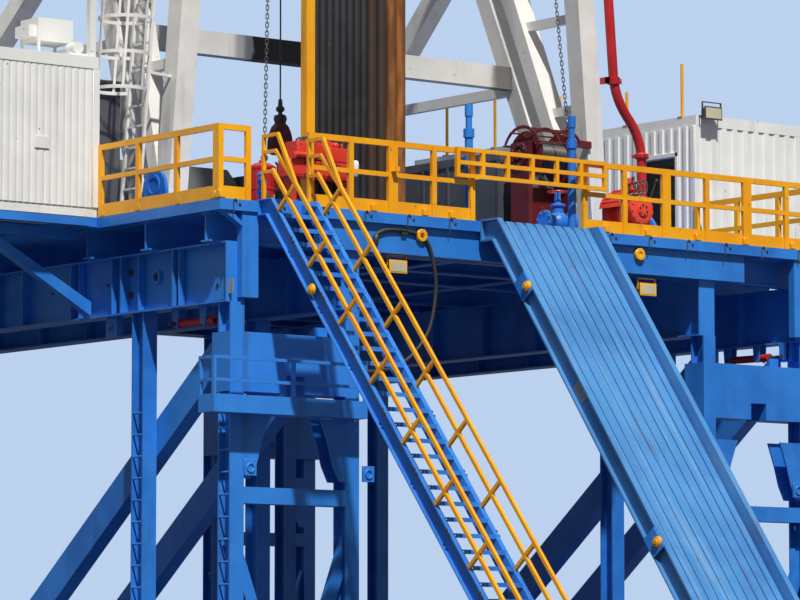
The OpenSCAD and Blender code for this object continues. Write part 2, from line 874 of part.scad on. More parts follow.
// Thin walls on a floor, with a doorway and a window toward the drill floor.
module house(side) {
    inside = floor_width / 2 + seat;
    low = [inside, house_setback, floor_height];
    high = [inside + house_width, house_setback + house_length, house_top(side)];
    door_edge = house_setback + door_place;
    window_edge = house_setback + window_place;
    through = inside + house_wall + 1;
    color(pale) place() on_side(side)
        difference() {
            block(low, high);
            block(low + [house_wall, house_wall, house_floor],
                  [high[0] - house_wall, high[1] - house_wall, high[2] + 1]);
            block([inside - 1, door_edge, floor_height + house_floor],
                  [through, door_edge + door_width, floor_height + door_height]);
            block([inside - 1, window_edge, floor_height + window_sill],
                  [through, window_edge + window_width, floor_height + door_height]);
        }
}

// The skid under a house: edge beams, cross beams and the brackets that carry it.
module house_frame(side) {
    inside = floor_width / 2 + seat;
    under = floor_height - skid_depth - seat;
    beam = 70;
    color(blue) place() on_side(side) {
        for (x = [inside, inside + house_width - beam])
            block([x, house_setback, under], [x + beam, house_setback + house_length, floor_height - seat]);
        for (i = [0 : 6]) {
            y = house_setback + i * (house_length - beam) / 6;
            block([inside, y, under + 5], [inside + house_width, y + beam, floor_height - seat - 5]);
        }
        for (i = [0.27, 0.5, 0.73])
            house_bracket(i * floor_depth, inside);
    }
}

// A sloping strut from a stiffened place on the girder out under the house.
module house_bracket(y, inside) {
    girder_face = outer_column + girder_width / 2 + seat;
    under = floor_height - skid_depth - seat;
    strut = 80;
    reach = inside + house_width * 0.75;
    translate([0, y + strut / 2, 0]) rotate([90, 0, 0]) linear_extrude(strut)
        polygon([[girder_face, girder_bottom + 20], [girder_face, girder_bottom + 20 + strut * 1.4],
                 [reach, under + 2], [reach + strut * 1.6, under + 2]]);
    block([inside, y - strut / 2, under - strut], [inside + house_width * 0.9, y + strut / 2, under + 2]);
}

function house_top(side) = floor_height + house_height + (side == right ? cabin_extra : 0);

module house_roof(side) {
    inside = floor_width / 2 + seat;
    z = house_top(side);
    color(pale) place() on_side(side)
        block([inside, house_setback - roof_overhang, z],
              [inside + house_width + roof_overhang, house_setback + house_length + roof_overhang,
               z + roof_height]);
}

// A closed cabin beside the doghouse, with sunk window panes on its front and inner side.
module driller_cabin() {
    low = [cabin_left, cabin_setback, floor_height];
    high = low + [cabin_width, cabin_length, cabin_height];
    pane = 12;
    sill = low[2] + cabin_height * 0.45;
    head = high[2] - 90;
    frame = 55;
    front_bay = (cabin_width - frame) / 2;
    side_bay = (cabin_length - frame) / 2;
    color(grey) place() {
        difference() {
            block(low, high);
            for (i = [0, 1]) {
                block([low[0] + frame + i * front_bay, low[1] - 1, sill],
                      [low[0] + (i + 1) * front_bay, low[1] + pane, head]);
                block([high[0] - pane, low[1] + frame + i * side_bay, sill],
                      [high[0] + 1, low[1] + (i + 1) * side_bay, head]);
            }
        }
        block([low[0] - 20, low[1] - 60, high[2] - 1], [high[0], high[1] + 20, high[2] + 40]);
    }
}

// A cooler on legs, a small hoist and a post on the doghouse roof.
module roof_units() {
    roof = house_top(left) + roof_height + seat;
    edge = -floor_width / 2;
    cooler = [edge - 400, house_setback + 250, roof];
    size = [330, 260, 185];
    leg = 20;
    stand = 135;
    hoist = [edge - 230, house_setback + 60, roof];
    post = 54;
    color(pale) place() {
        for (x = [0, size[0] - leg], y = [0, size[1] - leg])
            translate(cooler + [x, y, 0]) cube([leg, leg, stand]);
        translate(cooler + [0, 0, stand - 1]) cube(size);
        translate(cooler + [-70, 30, stand + 30]) cube([71, size[1] - 60, size[2] / 2]);
        translate(hoist) cube([170, 110, 30]);
        translate(hoist + [85, 110, 75]) rotate([90, 0, 0]) cylinder(h = 110, d = 96, $fn = 32);
        translate([edge - post - 6, house_setback + 20, roof]) cube([post, post, 1500]);
        translate([edge - house_width + 40, house_setback + 20, roof]) cube([30, 30, 500]);
    }
}

// Half width of the mast at a height, from the middle to the leg's centre line.
function mast_half(z) = mast_foot_half - (z - mast_foot) * taper;

// One side of the mast, drawn in its own sloping plane.
// The drawing's first axis is y, and its second runs up the leg.
module mast_side(side) {
    tilt = atan(taper);
    stretch = 1 / cos(tilt);
    height = (mast_top - mast_foot) * stretch;
    bay = (mast_top - knee) * stretch / mast_bays;
    knee_up = (knee - mast_foot) * stretch;
    color(pale) place() on_side(side) intersection() {
        block([0, 0, floor_height], [floor_width, floor_depth, mast_top]);
        translate([mast_foot_half, mast_setback, mast_foot]) rotate([0, -tilt, 0]) {
            // Legs
            translate([-leg_size / 2, 0, 0]) rotate([90, 0, 90]) linear_extrude(leg_size) {
                translate([-leg_size / 2, 0]) square([leg_size, height]);
                translate([mast_depth - leg_size / 2, knee_up]) square([leg_size, height - knee_up]);
                polygon([[0, 0], [leg_size / 2, 0],
                         [mast_depth + leg_size / 2, knee_up], [mast_depth + leg_size / 2, knee_up + 100],
                         [mast_depth - leg_size / 2, knee_up + 100], [mast_depth - leg_size / 2, knee_up],
                         [0, leg_size / 2]]);
            }
            // Bracing
            translate([-brace_width / 2, 0, 0]) rotate([90, 0, 90]) linear_extrude(brace_width) {
                for (i = [0 : mast_bays - 1]) {
                    z = knee_up + i * bay;
                    translate([0, z]) square([mast_depth, brace_width]);
                    slope = atan2(bay - brace_width, mast_depth);
                    if (i % 2 == 0)
                        translate([0, z + brace_width / 2]) rotate(slope)
                            square([mast_depth / cos(slope), brace_width]);
                    else
                        translate([mast_depth, z + brace_width / 2]) mirror([1, 0]) rotate(slope)
                            square([mast_depth / cos(slope), brace_width]);
                }
                translate([0, height - brace_width]) square([mast_depth, brace_width]);
                for (i = [1 : 3]) {
                    z = knee_up * (0.25 * i + 0.12);
                    translate([0, z]) square([z * mast_depth / knee_up, brace_width]);
                }
            }
        }
    }
    // Foot
    color(pale) place() on_side(side)
        block([mast_foot_half - 150, mast_setback - 150, floor_height],
              [mast_foot_half + 150, mast_setback + 150, mast_foot + 20]);
}

// The lattice between the two rear legs.
module mast_back() {
    y = mast_setback + mast_depth;
    bay = (mast_top - knee) / mast_bays;
    edge = leg_size / 2 / cos(atan(taper)) + seat;
    color(pale) place() translate([0, y + brace_width / 2, 0]) rotate([90, 0, 0])
        linear_extrude(brace_width) intersection() {
            polygon([[-mast_half(knee) + edge, knee], [mast_half(knee) - edge, knee],
                     [mast_half(mast_top) - edge, mast_top], [-mast_half(mast_top) + edge, mast_top]]);
            union() {
                for (i = [0 : mast_bays - 1]) {
                    z = knee + i * bay;
                    half = mast_half(z);
                    meeting = min(z + bay + brace_width / 2, mast_top - brace_width / 2);
                    translate([-half, z]) square([2 * half, brace_width]);
                    for (s = [-1, 1])
                        flat_bar([s * half, z + brace_width / 2], [0, meeting], brace_width);
                }
                translate([-mast_top_half, mast_top - brace_width]) square([2 * mast_top_half, brace_width]);
            }
        }
}

// A flat bar between two points of a drawing.
module flat_bar(from, to, width) {
    span = to - from;
    translate(from) rotate(atan2(span[1], span[0]))
        translate([0, -width / 2]) square([norm(span), width]);
}

module crown_block() {
    half = mast_top_half + leg_size / 2;
    back = mast_setback + mast_depth + leg_size / 2;
    front = mast_setback - leg_size / 2;
    middle = (front + back) / 2;
    cheek = sheave_count * sheave_pitch / 2 + 20;
    color(pale) place() {
        difference() {
            block([-half, front, mast_top + seat], [half, back, mast_top + 200]);
            block([-half + 120, front + 120, mast_top], [half - 120, back - 120, mast_top + 201]);
        }
        for (x = [-cheek - 40, cheek]) {
            block([x, front + 60, mast_top + 60], [x + 40, back - 60, mast_top + 200]);
            block([x, middle - 160, mast_top + 150], [x + 40, middle + 160, crown_axis + 120]);
        }
        translate([0, middle, crown_axis]) rotate([0, 90, 0]) {
            cylinder(h = 2 * cheek + 120, d = 120, center = true, $fn = 32);
            for (i = [0 : sheave_count - 1])
                translate([0, 0, (i - (sheave_count - 1) / 2) * sheave_pitch])
                    cylinder(h = sheave_pitch - 24, d = sheave, center = true, $fn = 64);
        }
    }
}

// A comb of fingers bolted in a frame in front of the mast, with a gangway in the middle.
module racking_board() {
    z = floor_height + board_height;
    tube = 60;
    walk = 160;
    walk_gap = 120;
    finger = 36;
    front = pipe_row - 1.5 * finger_pitch + finger / 2 - tube;
    back = mast_setback - leg_size / 2 - seat;
    inner_front = front + tube + seat;
    inner_back = back - tube - seat;
    fingers = floor((back - tube - finger - pipe_row) / finger_pitch + 0.5);
    color(pale) place() {
        for (y = [front, back - tube])
            block([-board_half, y, z], [board_half, y + tube, z + tube]);
        block([-walk, inner_front, z], [walk, inner_back, z + 20]);
        for (side = [left, right])
            on_side(side) {
                block([board_half - tube, inner_front, z], [board_half, inner_back, z + tube]);
                for (i = [0 : fingers])
                    translate([0, pipe_row + (i - 0.5) * finger_pitch, z])
                        block([walk + walk_gap, -finger / 2, 0], [board_half - tube - seat, finger / 2, tube]);
                board_tie([mast_half(z + tie_rise) - 20, back, z + tie_rise],
                          [board_half - tube / 2, front + tube / 2, z + tube + seat]);
            }
    }
}

// A rod that carries a front corner of the board from the mast's leg.
module board_tie(top, corner) {
    thickness = 44;
    spare = (top - corner) * 0.05;
    intersection() {
        bar(corner - spare, top + spare, thickness, thickness);
        block([-floor_width, -floor_depth, corner[2]], [floor_width, top[1], mast_top]);
    }
}

module travelling_block() {
    middle = mast_setback + mast_depth / 2;
    height = block_height;
    half = sheave_count * sheave_pitch / 2;
    body = 700;
    guard = sheave + 80;
    falls = sheave / 2 + line / 2 + seat;
    color(yellow) place() translate([0, middle, height]) {
        translate([-half, -guard / 2, 0]) cube([2 * half, guard, body]);
        translate([0, 0, body]) rotate([0, 90, 0]) cylinder(h = 2 * half, d = guard, center = true, $fn = 64);
        for (i = [0 : sheave_count - 1], y = [-falls, falls])
            translate([(i - (sheave_count - 1) / 2) * sheave_pitch, y, body - 10])
                cylinder(h = crown_axis - height - body + 10, d = line, $fn = 12);
        translate([0, 0, -260]) cylinder(h = 280, d = 170, $fn = 32);
        translate([0, 0, -380]) rotate([90, 0, 0])
            rotate_extrude($fn = 32) translate([130, 0]) circle(d = 90, $fn = 16);
    }
}

collar_left = pipe_left + pipe_count * pipe_pitch + (collar_pitch - pipe_pitch) / 2;

// Stands of drill pipe and heavier stands beside them, side by side on the setback mat.
module pipe_stands() {
    color(steel) place() translate([0, pipe_row, floor_height + mat_height + seat]) {
        for (i = [0 : pipe_count - 1])
            translate([pipe_left + i * pipe_pitch, 0, 0])
                cylinder(h = pipe_length, d = pipe_diameter, $fn = 24);
        for (i = [0 : collar_count - 1])
            translate([collar_left + i * collar_pitch, 0, 0])
                cylinder(h = pipe_length, d = collar_diameter, $fn = 24);
    }
}

// An angle post that keeps the row of stands from sliding sideways.
module pipe_guard() {
    x = pipe_left - pipe_diameter / 2 - 2 - guard_width;
    thickness = 12;
    color(yellow) place() translate([x, pipe_row - guard_width / 2, floor_height + mat_height + seat])
        linear_extrude(board_height - mat_height - 2 * seat) {
            square([guard_width, thickness]);
            square([thickness, guard_width]);
        }
}

// One side of the A-frame, drawn in the same sloping plane as the mast's side:
// a leaning front leg, a long rear leg, a tie between them and the head on top.
module a_leg_pair(side) {
    tilt = atan(taper);
    apex_y = a_front + a_height * mast_lean;
    rear_slope = a_rear_run / a_height;
    rear_half = a_leg * sqrt(1 + rear_slope * rear_slope) / 2;
    front_half = a_leg * sqrt(1 + mast_lean * mast_lean) / 2;
    tie_low = a_height * 0.52;
    tie_high = tie_low + 90;
    head_low = a_height - 180;
    head_high = a_height + 120;
    under = -60;
    color(pale) place() on_side(side)
        intersection() {
            translate([mast_half(floor_height), 0, floor_height]) rotate([0, -tilt, 0]) {
                side_plate(a_leg)
                    slanted(under, head_low - seat,
                            [front_run(under) - front_half, front_run(under) + front_half],
                            [front_run(head_low) - front_half, front_run(head_low) + front_half]);
                side_plate(a_leg)
                    slanted(under, head_low - seat,
                            [rear_run(under) - rear_half, rear_run(under) + rear_half],
                            [rear_run(head_low) - rear_half, rear_run(head_low) + rear_half]);
                side_plate(90)
                    slanted(tie_low, tie_high,
                            [front_run(tie_low) + front_half + seat, rear_run(tie_low) - rear_half - seat],
                            [front_run(tie_high) + front_half + seat, rear_run(tie_high) - rear_half - seat]);
                side_plate(a_leg + 40)
                    slanted(head_low, head_high,
                            [rear_leg_back(head_low) + seat, rear_run(head_low) + rear_half],
                            [rear_leg_back(head_high) + seat, apex_y + rear_half * 1.3]);
            }
            block([0, 0, floor_height], [floor_width / 2, floor_depth, mast_top]);
        }
}

// Setback of the middle of the A-frame's front and rear legs at a height above the floor.
function front_run(up) = a_front + up * mast_lean;
function rear_run(up) = a_front + a_height * mast_lean + (a_height - up) * a_rear_run / a_height;

// A shape of the y-z plane, made as thick as given round the middle of the frame.
module side_plate(thickness) {
    translate([-thickness / 2, 0, 0]) rotate([90, 0, 90]) linear_extrude(thickness) children();
}

// A four-sided outline between two heights, given by its front and back at each.
module slanted(low, high, low_ends, high_ends) {
    polygon([[low_ends[0], low], [low_ends[1], low], [high_ends[1], high], [high_ends[0], high]]);
}

// Back edge of the mast's leaning rear leg, at a height above the floor.
function rear_leg_back(up) = mast_setback + leg_size / 2 + (up - (mast_foot - floor_height)) * mast_lean;

module a_frame_beam() {
    y = a_front + a_beam_height * mast_lean;
    face = a_leg / 2 / cos(atan(taper)) + seat;
    low = floor_height + a_beam_height - a_beam_depth / 2;
    high = low + a_beam_depth;
    color(pale) place() translate([0, y + 60, 0]) rotate([90, 0, 0]) linear_extrude(120)
        polygon([[face - mast_half(low), low], [mast_half(low) - face, low],
                 [mast_half(high) - face, high], [face - mast_half(high), high]]);
}

// The main winch's housing: a low skid, a drum cover with a sloping front and a motor house.
module drawworks() {
    length = 2800;
    depth = 1200;
    height = 950;
    skid = 120;
    color(grey) place() translate([-length / 2 - 100, 4200, floor_height]) {
        cube([length, depth, skid]);
        translate([60, 60, skid - 1]) rotate([90, 0, 90]) linear_extrude(length * 0.6)
            polygon([[0, 0], [depth - 120, 0], [depth - 120, height - skid], [depth * 0.35, height - skid],
                     [0, height * 0.45]]);
        translate([length * 0.6 + 100, 140, skid - 1]) cube([length * 0.4 - 160, depth - 280, height * 0.8]);
        translate([length * 0.8, 140, skid + height * 0.45]) rotate([90, 0, 0])
            cylinder(h = 120, d = height * 0.55, $fn = 48);
    }
}

// A closed housing with a stiffened skin and a lid, behind the winch.
module power_unit() {
    low = [unit_left, unit_setback, floor_height];
    high = low + [unit_width, unit_length, unit_height];
    rib = 12;
    color(grey) place() {
        block(low + [0, 0, 60], high);
        block(low + [30, 30, 0], [high[0] - 30, high[1] - 30, low[2] + 61]);
        block([low[0] - rib, low[1] - rib, high[2] - 60], [high[0] + rib, high[1] + rib, high[2] + 8]);
        for (i = [0 : 6])
            block([low[0] - rib, low[1] + i * (unit_length - 30) / 6, low[2] + 60],
                  [low[0] + 1, low[1] + i * (unit_length - 30) / 6 + 30, high[2]]);
        for (i = [0 : 3])
            block([low[0] + i * (unit_width - 30) / 3, low[1] - rib, low[2] + 60],
                  [low[0] + i * (unit_width - 30) / 3 + 30, low[1] + 1, high[2]]);
    }
}

module winch_frame() {
    gap = winch_width / 2 + 45;
    drop = winch_place[2] - floor_height;
    color(dark_red) place() translate(winch_place) {
        difference() {
            for (s = [-1, 1])
                translate([s * gap - 20, -120, -drop]) cube([40, 240, drop + 110]);
            rotate([0, 90, 0])
                cylinder(h = 2 * gap + 200, d = winch_shaft + 2 * winch_bearing, center = true, $fn = 48);
        }
        translate([-gap - 20, -220, -drop]) cube([2 * gap + 40, 440, 50]);
        translate([-gap, 90, -drop]) cube([2 * gap, 30, drop - winch_flange / 2 - 40]);
    }
}

module winch_drum() {
    color(dark_red) place() translate(winch_place) rotate([0, 90, 0]) {
        cylinder(h = winch_width, d = winch_flange * 0.55, center = true, $fn = 48);
        for (s = [-1, 1])
            translate([0, 0, s * (winch_width / 2 - 10)])
                cylinder(h = 20, d = winch_flange, center = true, $fn = 48);
        cylinder(h = winch_width + 200, d = winch_shaft, center = true, $fn = 48);
    }
}

// A small winch: drum between two cheeks, gearbox on the front and a motor on top.
module line_winch() {
    place_x = 1560;
    place_y = 760;
    axis = 300;
    color(orange_red) place() translate([place_x, place_y, floor_height]) {
        translate([-190, -180, 0]) cube([380, 360, 50]);
        for (y = [-130, 90])
            translate([-150, y, 40]) cube([300, 40, 330]);
        translate([0, 0, axis]) rotate([90, 0, 0]) {
            cylinder(h = 300, d = 180, center = true, $fn = 32);
            for (y = [-70, 70]) translate([0, 0, y]) cylinder(h = 20, d = 300, center = true, $fn = 32);
            translate([0, 0, 140]) cylinder(h = 60, d = 240, $fn = 32);
            translate([0, 0, 180]) cylinder(h = 50, d = 110, $fn = 32);
        }
        translate([-60, -160, 40]) cube([120, 40, 200]);
        translate([-90, -90, 360]) cube([180, 160, 120]);
        translate([0, -40, 470]) cylinder(h = 110, d = 100, $fn = 32);
    }
}

// A standing wrench: a column on a skid with two boxed jaws and a spinner above.
module iron_roughneck() {
    color(orange_red) place() translate([-1190, 1525, floor_height]) {
        translate([-260, -170, 0]) cube([520, 340, 60]);
        for (x = [-200, 130])
            translate([x, -60, 50]) cube([70, 120, 330]);
        translate([-285, -140, 340]) cube([570, 280, 150]);
        translate([-200, -150, 510]) cube([400, 260, 140]);
        translate([-150, -100, 480]) cube([300, 200, 40]);
        for (x = [-120, 120])
            translate([x, -60, 640]) cylinder(h = 60, d = 110, $fn = 32);
        translate([0, -140, 400]) rotate([90, 0, 0]) cylinder(h = 50, d = 110, $fn = 32);
        for (x = [-230, 230])
            translate([x, -60, 480]) cylinder(h = 90, d = 60, $fn = 32);
    }
}

// The pipe stands beside the right front leg, and steps outward above the floor.
module standpipe() {
    d = standpipe_diameter;
    lean = atan(taper);
    x_top = mast_half(floor_height + standpipe_shoulder) + leg_size / 2 + d * 1.1;
    rise = standpipe_shoulder - standpipe_bend;
    clamp = 60;
    foot = 30;
    color(red) place() translate([x_top, mast_setback - leg_size / 2 - d, floor_height]) {
        translate([standpipe_step, 0, 0]) {
            cylinder(h = standpipe_bend, d = d, $fn = 32);
            cylinder(h = foot, d = 2 * d, $fn = 32);
            translate([0, 0, standpipe_bend - 160]) cylinder(h = 50, d = 1.5 * d, $fn = 32);
            translate([0, 0, standpipe_bend]) sphere(d = 1.04 * d, $fn = 32);
            translate([0, 0, standpipe_bend]) rotate([0, -atan(standpipe_step / rise), 0])
                cylinder(h = norm([standpipe_step, rise]), d = d, $fn = 32);
        }
        translate([0, 0, standpipe_shoulder]) {
            sphere(d = 1.04 * d, $fn = 32);
            rotate([0, -lean, 0]) {
                cylinder(h = standpipe_length, d = d, $fn = 32);
                for (z = [110, standpipe_length / 3, standpipe_length * 2 / 3, standpipe_length - 300]) {
                    translate([0, 0, z]) cylinder(h = clamp, d = 1.35 * d, $fn = 32);
                    translate([-d * 1.05, -15, z]) cube([d, 30, clamp]);
                    translate([-d * 1.05, -15, z]) cube([30, d * 1.1 - seat, clamp]);
                }
            }
        }
    }
}

// A hoist line from a bracket on the left leg down to its hook block.
module line_hook() {
    bracket_z = mast_foot + 11500;
    leg_face = -mast_half(bracket_z + 60) + (leg_size / 2) / cos(atan(taper)) + seat;
    reach = -leg_face - hook_line;
    rope = 14;
    hook_z = floor_height + 700;
    color(steel) place() {
        translate([leg_face, mast_setback - 40, bracket_z]) cube([reach + 60, 80, 60]);
        translate([-hook_line, mast_setback, bracket_z - 100]) rotate([90, 0, 0])
            cylinder(h = 50, d = 220, center = true, $fn = 32);
        translate([-hook_line, mast_setback, hook_z + 300])
            cylinder(h = bracket_z - hook_z - 300, d = rope, $fn = 16);
        translate([-hook_line, mast_setback, hook_z + 210]) {
            translate([-70, 0, 0]) rotate([90, 0, 0]) cylinder(h = 60, d = 110, center = true, $fn = 32);
            translate([70, 0, 0]) rotate([90, 0, 0]) cylinder(h = 60, d = 110, center = true, $fn = 32);
            translate([-70, -30, -55]) cube([140, 60, 110]);
            translate([0, 0, 40]) cylinder(h = 70, d1 = 90, d2 = 30, $fn = 32);
        }
        translate([-hook_line, mast_setback, hook_z]) cylinder(h = 180, d = 60, $fn = 32);
        translate([-hook_line, mast_setback, hook_z - 40]) rotate([90, 0, 0])
            rotate_extrude($fn = 32) translate([55, 0]) circle(d = 34, $fn = 16);
    }
}

// A ladder beside the left front leg, held off it by brackets.
module mast_ladder() {
    half = 125;
    tilt = atan(taper);
    start = floor_height + 60;
    stile = 24;
    rung = 16;
    off = (leg_size / 2 + 300) / cos(tilt);
    brackets = 6;
    first = 1200;
    bracket_pitch = (ladder_length - first - 200) / (brackets - 1);
    color(pale) place() translate([-mast_half(start) - off, mast_setback, start]) rotate([0, tilt, 0]) {
        for (s = [-1, 1])
            translate([-stile / 2, s * half - stile / 2, 0]) cube([stile, stile, ladder_length]);
        for (i = [0 : floor((ladder_length - 120) / rung_pitch)])
            translate([-rung / 2, -half, 60 + i * rung_pitch]) cube([rung, 2 * half, rung]);
        for (i = [0 : brackets - 1]) {
            translate([0, -stile / 2, first + i * bracket_pitch]) cube([300 - seat, stile, stile]);
            translate([-stile / 2, -half, first + i * bracket_pitch]) cube([stile, 2 * half, stile]);
        }
    }
}

base(left);  // base_left
base(right);  // base_right
base_spreaders();
front_tower(left);  // front_tower_left
front_tower(right);  // front_tower_right
middle_columns(left);  // middle_columns_left
middle_columns(right);  // middle_columns_right
rear_tower(left);  // rear_tower_left
rear_tower(right);  // rear_tower_right
diagonal_legs(left);  // diagonal_legs_left
diagonal_legs(right);  // diagonal_legs_right
girders(left);  // girders_left
girders(right);  // girders_right
corner_posts();
floor_frame();
floor_joists();
floor_plates();
rotary_table();
lower_platform();
stair_stringers();
stair_treads();
stair_rails();
ramp();
rail_left();
rail_front();
rail_right();
rail_back();
vdoor_gate();
vdoor_posts();
house(left);  // doghouse
house_roof(left);  // doghouse_roof
house_frame(left);  // doghouse_frame
house(right);  // cabin
house_roof(right);  // cabin_roof
house_frame(right);  // cabin_frame
driller_cabin();
roof_units();
a_leg_pair(left);  // a_frame_left
a_leg_pair(right);  // a_frame_right
a_frame_beam();
mast_side(left);  // mast_left
mast_side(right);  // mast_right
mast_back();
crown_block();
racking_board();
travelling_block();
pipe_stands();
pipe_guard();
drawworks();
power_unit();
winch_frame();
winch_drum();
line_winch();
iron_roughneck();
standpipe();
mast_ladder();
line_hook();
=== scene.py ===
# %% [markdown]
# A drilling rig is a steel frame that carries a mast. Most of what one sees is painted steel:
# blue under the drill floor, yellow rails around it, and a pale lattice mast above.
# The solids come ready made, in metres, so this lesson starts from them and adds what is too fine
# for solids: corrugated walls, rungs, bolts, hoses, chains, and paint that has lived outdoors.

# %% Frame
import json
import math

import bpy
import numpy as np
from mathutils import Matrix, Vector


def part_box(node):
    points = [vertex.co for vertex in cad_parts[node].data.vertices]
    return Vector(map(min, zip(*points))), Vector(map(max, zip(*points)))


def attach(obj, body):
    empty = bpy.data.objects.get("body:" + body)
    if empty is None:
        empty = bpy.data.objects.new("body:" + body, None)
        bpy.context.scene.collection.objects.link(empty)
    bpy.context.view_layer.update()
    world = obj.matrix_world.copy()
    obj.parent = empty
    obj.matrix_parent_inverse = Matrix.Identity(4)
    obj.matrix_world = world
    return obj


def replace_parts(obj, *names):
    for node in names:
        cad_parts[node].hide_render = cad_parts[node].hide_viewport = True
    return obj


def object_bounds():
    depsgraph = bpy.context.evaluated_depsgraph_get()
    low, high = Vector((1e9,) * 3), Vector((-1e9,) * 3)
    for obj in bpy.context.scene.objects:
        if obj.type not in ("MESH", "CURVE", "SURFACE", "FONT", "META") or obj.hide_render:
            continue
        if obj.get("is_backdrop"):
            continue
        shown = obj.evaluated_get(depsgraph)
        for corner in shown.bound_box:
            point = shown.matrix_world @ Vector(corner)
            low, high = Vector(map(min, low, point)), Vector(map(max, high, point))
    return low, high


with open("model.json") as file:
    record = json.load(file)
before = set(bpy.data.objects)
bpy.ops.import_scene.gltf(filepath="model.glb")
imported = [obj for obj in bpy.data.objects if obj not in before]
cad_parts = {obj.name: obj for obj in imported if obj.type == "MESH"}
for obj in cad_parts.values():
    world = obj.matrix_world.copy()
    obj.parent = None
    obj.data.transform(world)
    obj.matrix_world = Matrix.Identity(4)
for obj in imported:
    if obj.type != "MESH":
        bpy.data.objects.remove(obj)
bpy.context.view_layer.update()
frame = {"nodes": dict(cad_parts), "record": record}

# %% [markdown]
# Everything is placed from a few driving sizes. The frame's origin is in the middle of the
# footprint, while a rig builder measures from the front edge of the drill floor. So a helper turns
# a setback behind that edge into a y. The deck's height is in millimetres, as all small parts are,
# and the mast's lean is the way inwards for each step up.

# %% Driving sizes
floor_low, floor_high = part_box("floor_plates")
edge_y = floor_low.y
half_floor = floor_high.x
deck = 4500
mast_lean = 0.07775
LEFT, RIGHT = SIDES = (-1, 1)


def behind(setback):
    """The y of a place that lies so many metres behind the floor's front edge."""
    return edge_y + setback


print("front edge at y", round(edge_y, 4), "and half of the floor's width is", round(half_floor, 3))

# %% [markdown]
# A studio picture needs a plain floor, soft light and a camera. The camera stands low and far away
# in front of the left corner and looks through a long lens, so upright edges stay parallel. A
# high sun on the front left models the forms, and an even pale sky fills the shade. The sky that
# the camera sees is a plain tone, which Light Path keeps apart from the light it gives.

# %% Camera
view_yaw = math.radians(37.98)
view_pitch = math.radians(5.47)
focal_pixels = 4150.0
picture_width = 800
sensor = 36.0
camera = bpy.data.objects.new("camera", bpy.data.cameras.new("camera"))
bpy.context.scene.collection.objects.link(camera)
camera.location = (-21.315, behind(-25.45), 0.73)
camera.rotation_euler = (math.pi / 2 + view_pitch, 0, -view_yaw)
camera.data.sensor_width = sensor
camera.data.lens = focal_pixels * sensor / picture_width
camera.data.clip_end = 1000
bpy.context.scene.camera = camera
bpy.context.scene.view_settings.view_transform = "Standard"

# %% Lights
sun = bpy.data.objects.new("sun", bpy.data.lights.new("sun", "SUN"))
sun.data.energy = 4.1
sun.data.angle = math.radians(2)
sun.data.color = (1.0, 0.97, 0.92)
sun.rotation_euler = (math.radians(37), 0, math.radians(-24))
bpy.context.scene.collection.objects.link(sun)

sky = bpy.data.worlds.new("sky")
sky.use_nodes = True
bpy.context.scene.world = sky
sky.node_tree.nodes.clear()


def sky_node(kind, **values):
    """A node of the sky with some of its sockets filled."""
    made = sky.node_tree.nodes.new("ShaderNode" + kind)
    for name, value in values.items():
        made.inputs[name].default_value = value
    return made


def sky_link(source, output, target, entry):
    """Joins one node's output to another one's socket."""
    sky.node_tree.links.new(source.outputs[output], target.inputs[entry])


seen = sky_node("Background", Color=(0.50, 0.64, 0.86, 1), Strength=1.0)
given = sky_node("Background", Color=(0.80, 0.88, 1.0, 1), Strength=0.22)
rays = sky_node("LightPath")
either = sky_node("Math")
either.operation = "MAXIMUM"
choice = sky_node("MixShader")
sky_link(rays, "Is Camera Ray", either, 0)
sky_link(rays, "Is Transmission Ray", either, 1)
sky_link(either, 0, choice, "Fac")
sky_link(given, 0, choice, 1)
sky_link(seen, 0, choice, 2)
sky_link(choice, 0, sky_node("OutputWorld"), "Surface")

# %% [markdown]
# Everything finer than the solids repeats a few forms. A rung, pipe, hose or link is a flat
# profile carried along a path. A cap, ring or tank is a profile turned about an axis. Bolts and
# links are copies of one shape. Each form is worked out as whole arrays, and all small parts of
# one kind are joined in one mesh, which keeps the scene light.

# %% Forms carried, turned and copied
def at(x, setback, height):
    """A place in metres from millimetres: x, the way behind the front edge, and the height."""
    return np.array([x / 1000, edge_y + setback / 1000, height / 1000])


def circle(radius, sides=12):
    """Points (r cos t, r sin t) at even angles t, counterclockwise."""
    turn = np.arange(sides) * 2 * math.pi / sides
    return np.stack([radius * np.cos(turn), radius * np.sin(turn)], axis=1)


def oblong(width, height):
    """The corners of a rectangle about the origin, counterclockwise."""
    return np.array([(-0.5, -0.5), (0.5, -0.5), (0.5, 0.5), (-0.5, 0.5)]) * (width, height)


def unit(vectors):
    """Vectors made one long."""
    return vectors / np.linalg.norm(vectors, axis=-1, keepdims=True)


def ring_faces(rows, columns, loop=False):
    """Quads between neighbouring rows of a grid whose columns close on themselves."""
    row = np.arange(rows if loop else rows - 1)[:, None]
    here = np.arange(columns)[None]
    after = (here + 1) % columns
    ahead = (row + 1) % rows
    corners = [row * columns + here, ahead * columns + here, ahead * columns + after, row * columns + after]
    return np.stack(corners, axis=2).reshape(-1, 4)


def capped(points, loop=False):
    """A grid of rings (rows, columns, 3) as a form, with a cap on each end unless it is a loop."""
    rows, columns = points.shape[:2]
    faces = [ring_faces(rows, columns, loop)]
    if not loop:
        first = np.arange(columns)
        faces += [first[None], (first[::-1] + (rows - 1) * columns)[None]]
    return points.reshape(-1, 3), faces


def carried(profile, path, up=(0, 0, 1), loop=False):
    """A closed profile (u, v) carried along a path: point = path + side u + over v, where side is
    ahead x up and over is side x ahead."""
    path = np.asarray(path, float)
    if loop:
        ahead = unit(np.roll(path, -1, axis=0) - np.roll(path, 1, axis=0))
    else:
        ahead = unit(np.gradient(path, axis=0))
    side = unit(np.cross(ahead, up))
    over = np.cross(side, ahead)
    u, v = np.asarray(profile, float).T[:, None, :, None]
    return capped(path[:, None] + side[:, None] * u + over[:, None] * v, loop)


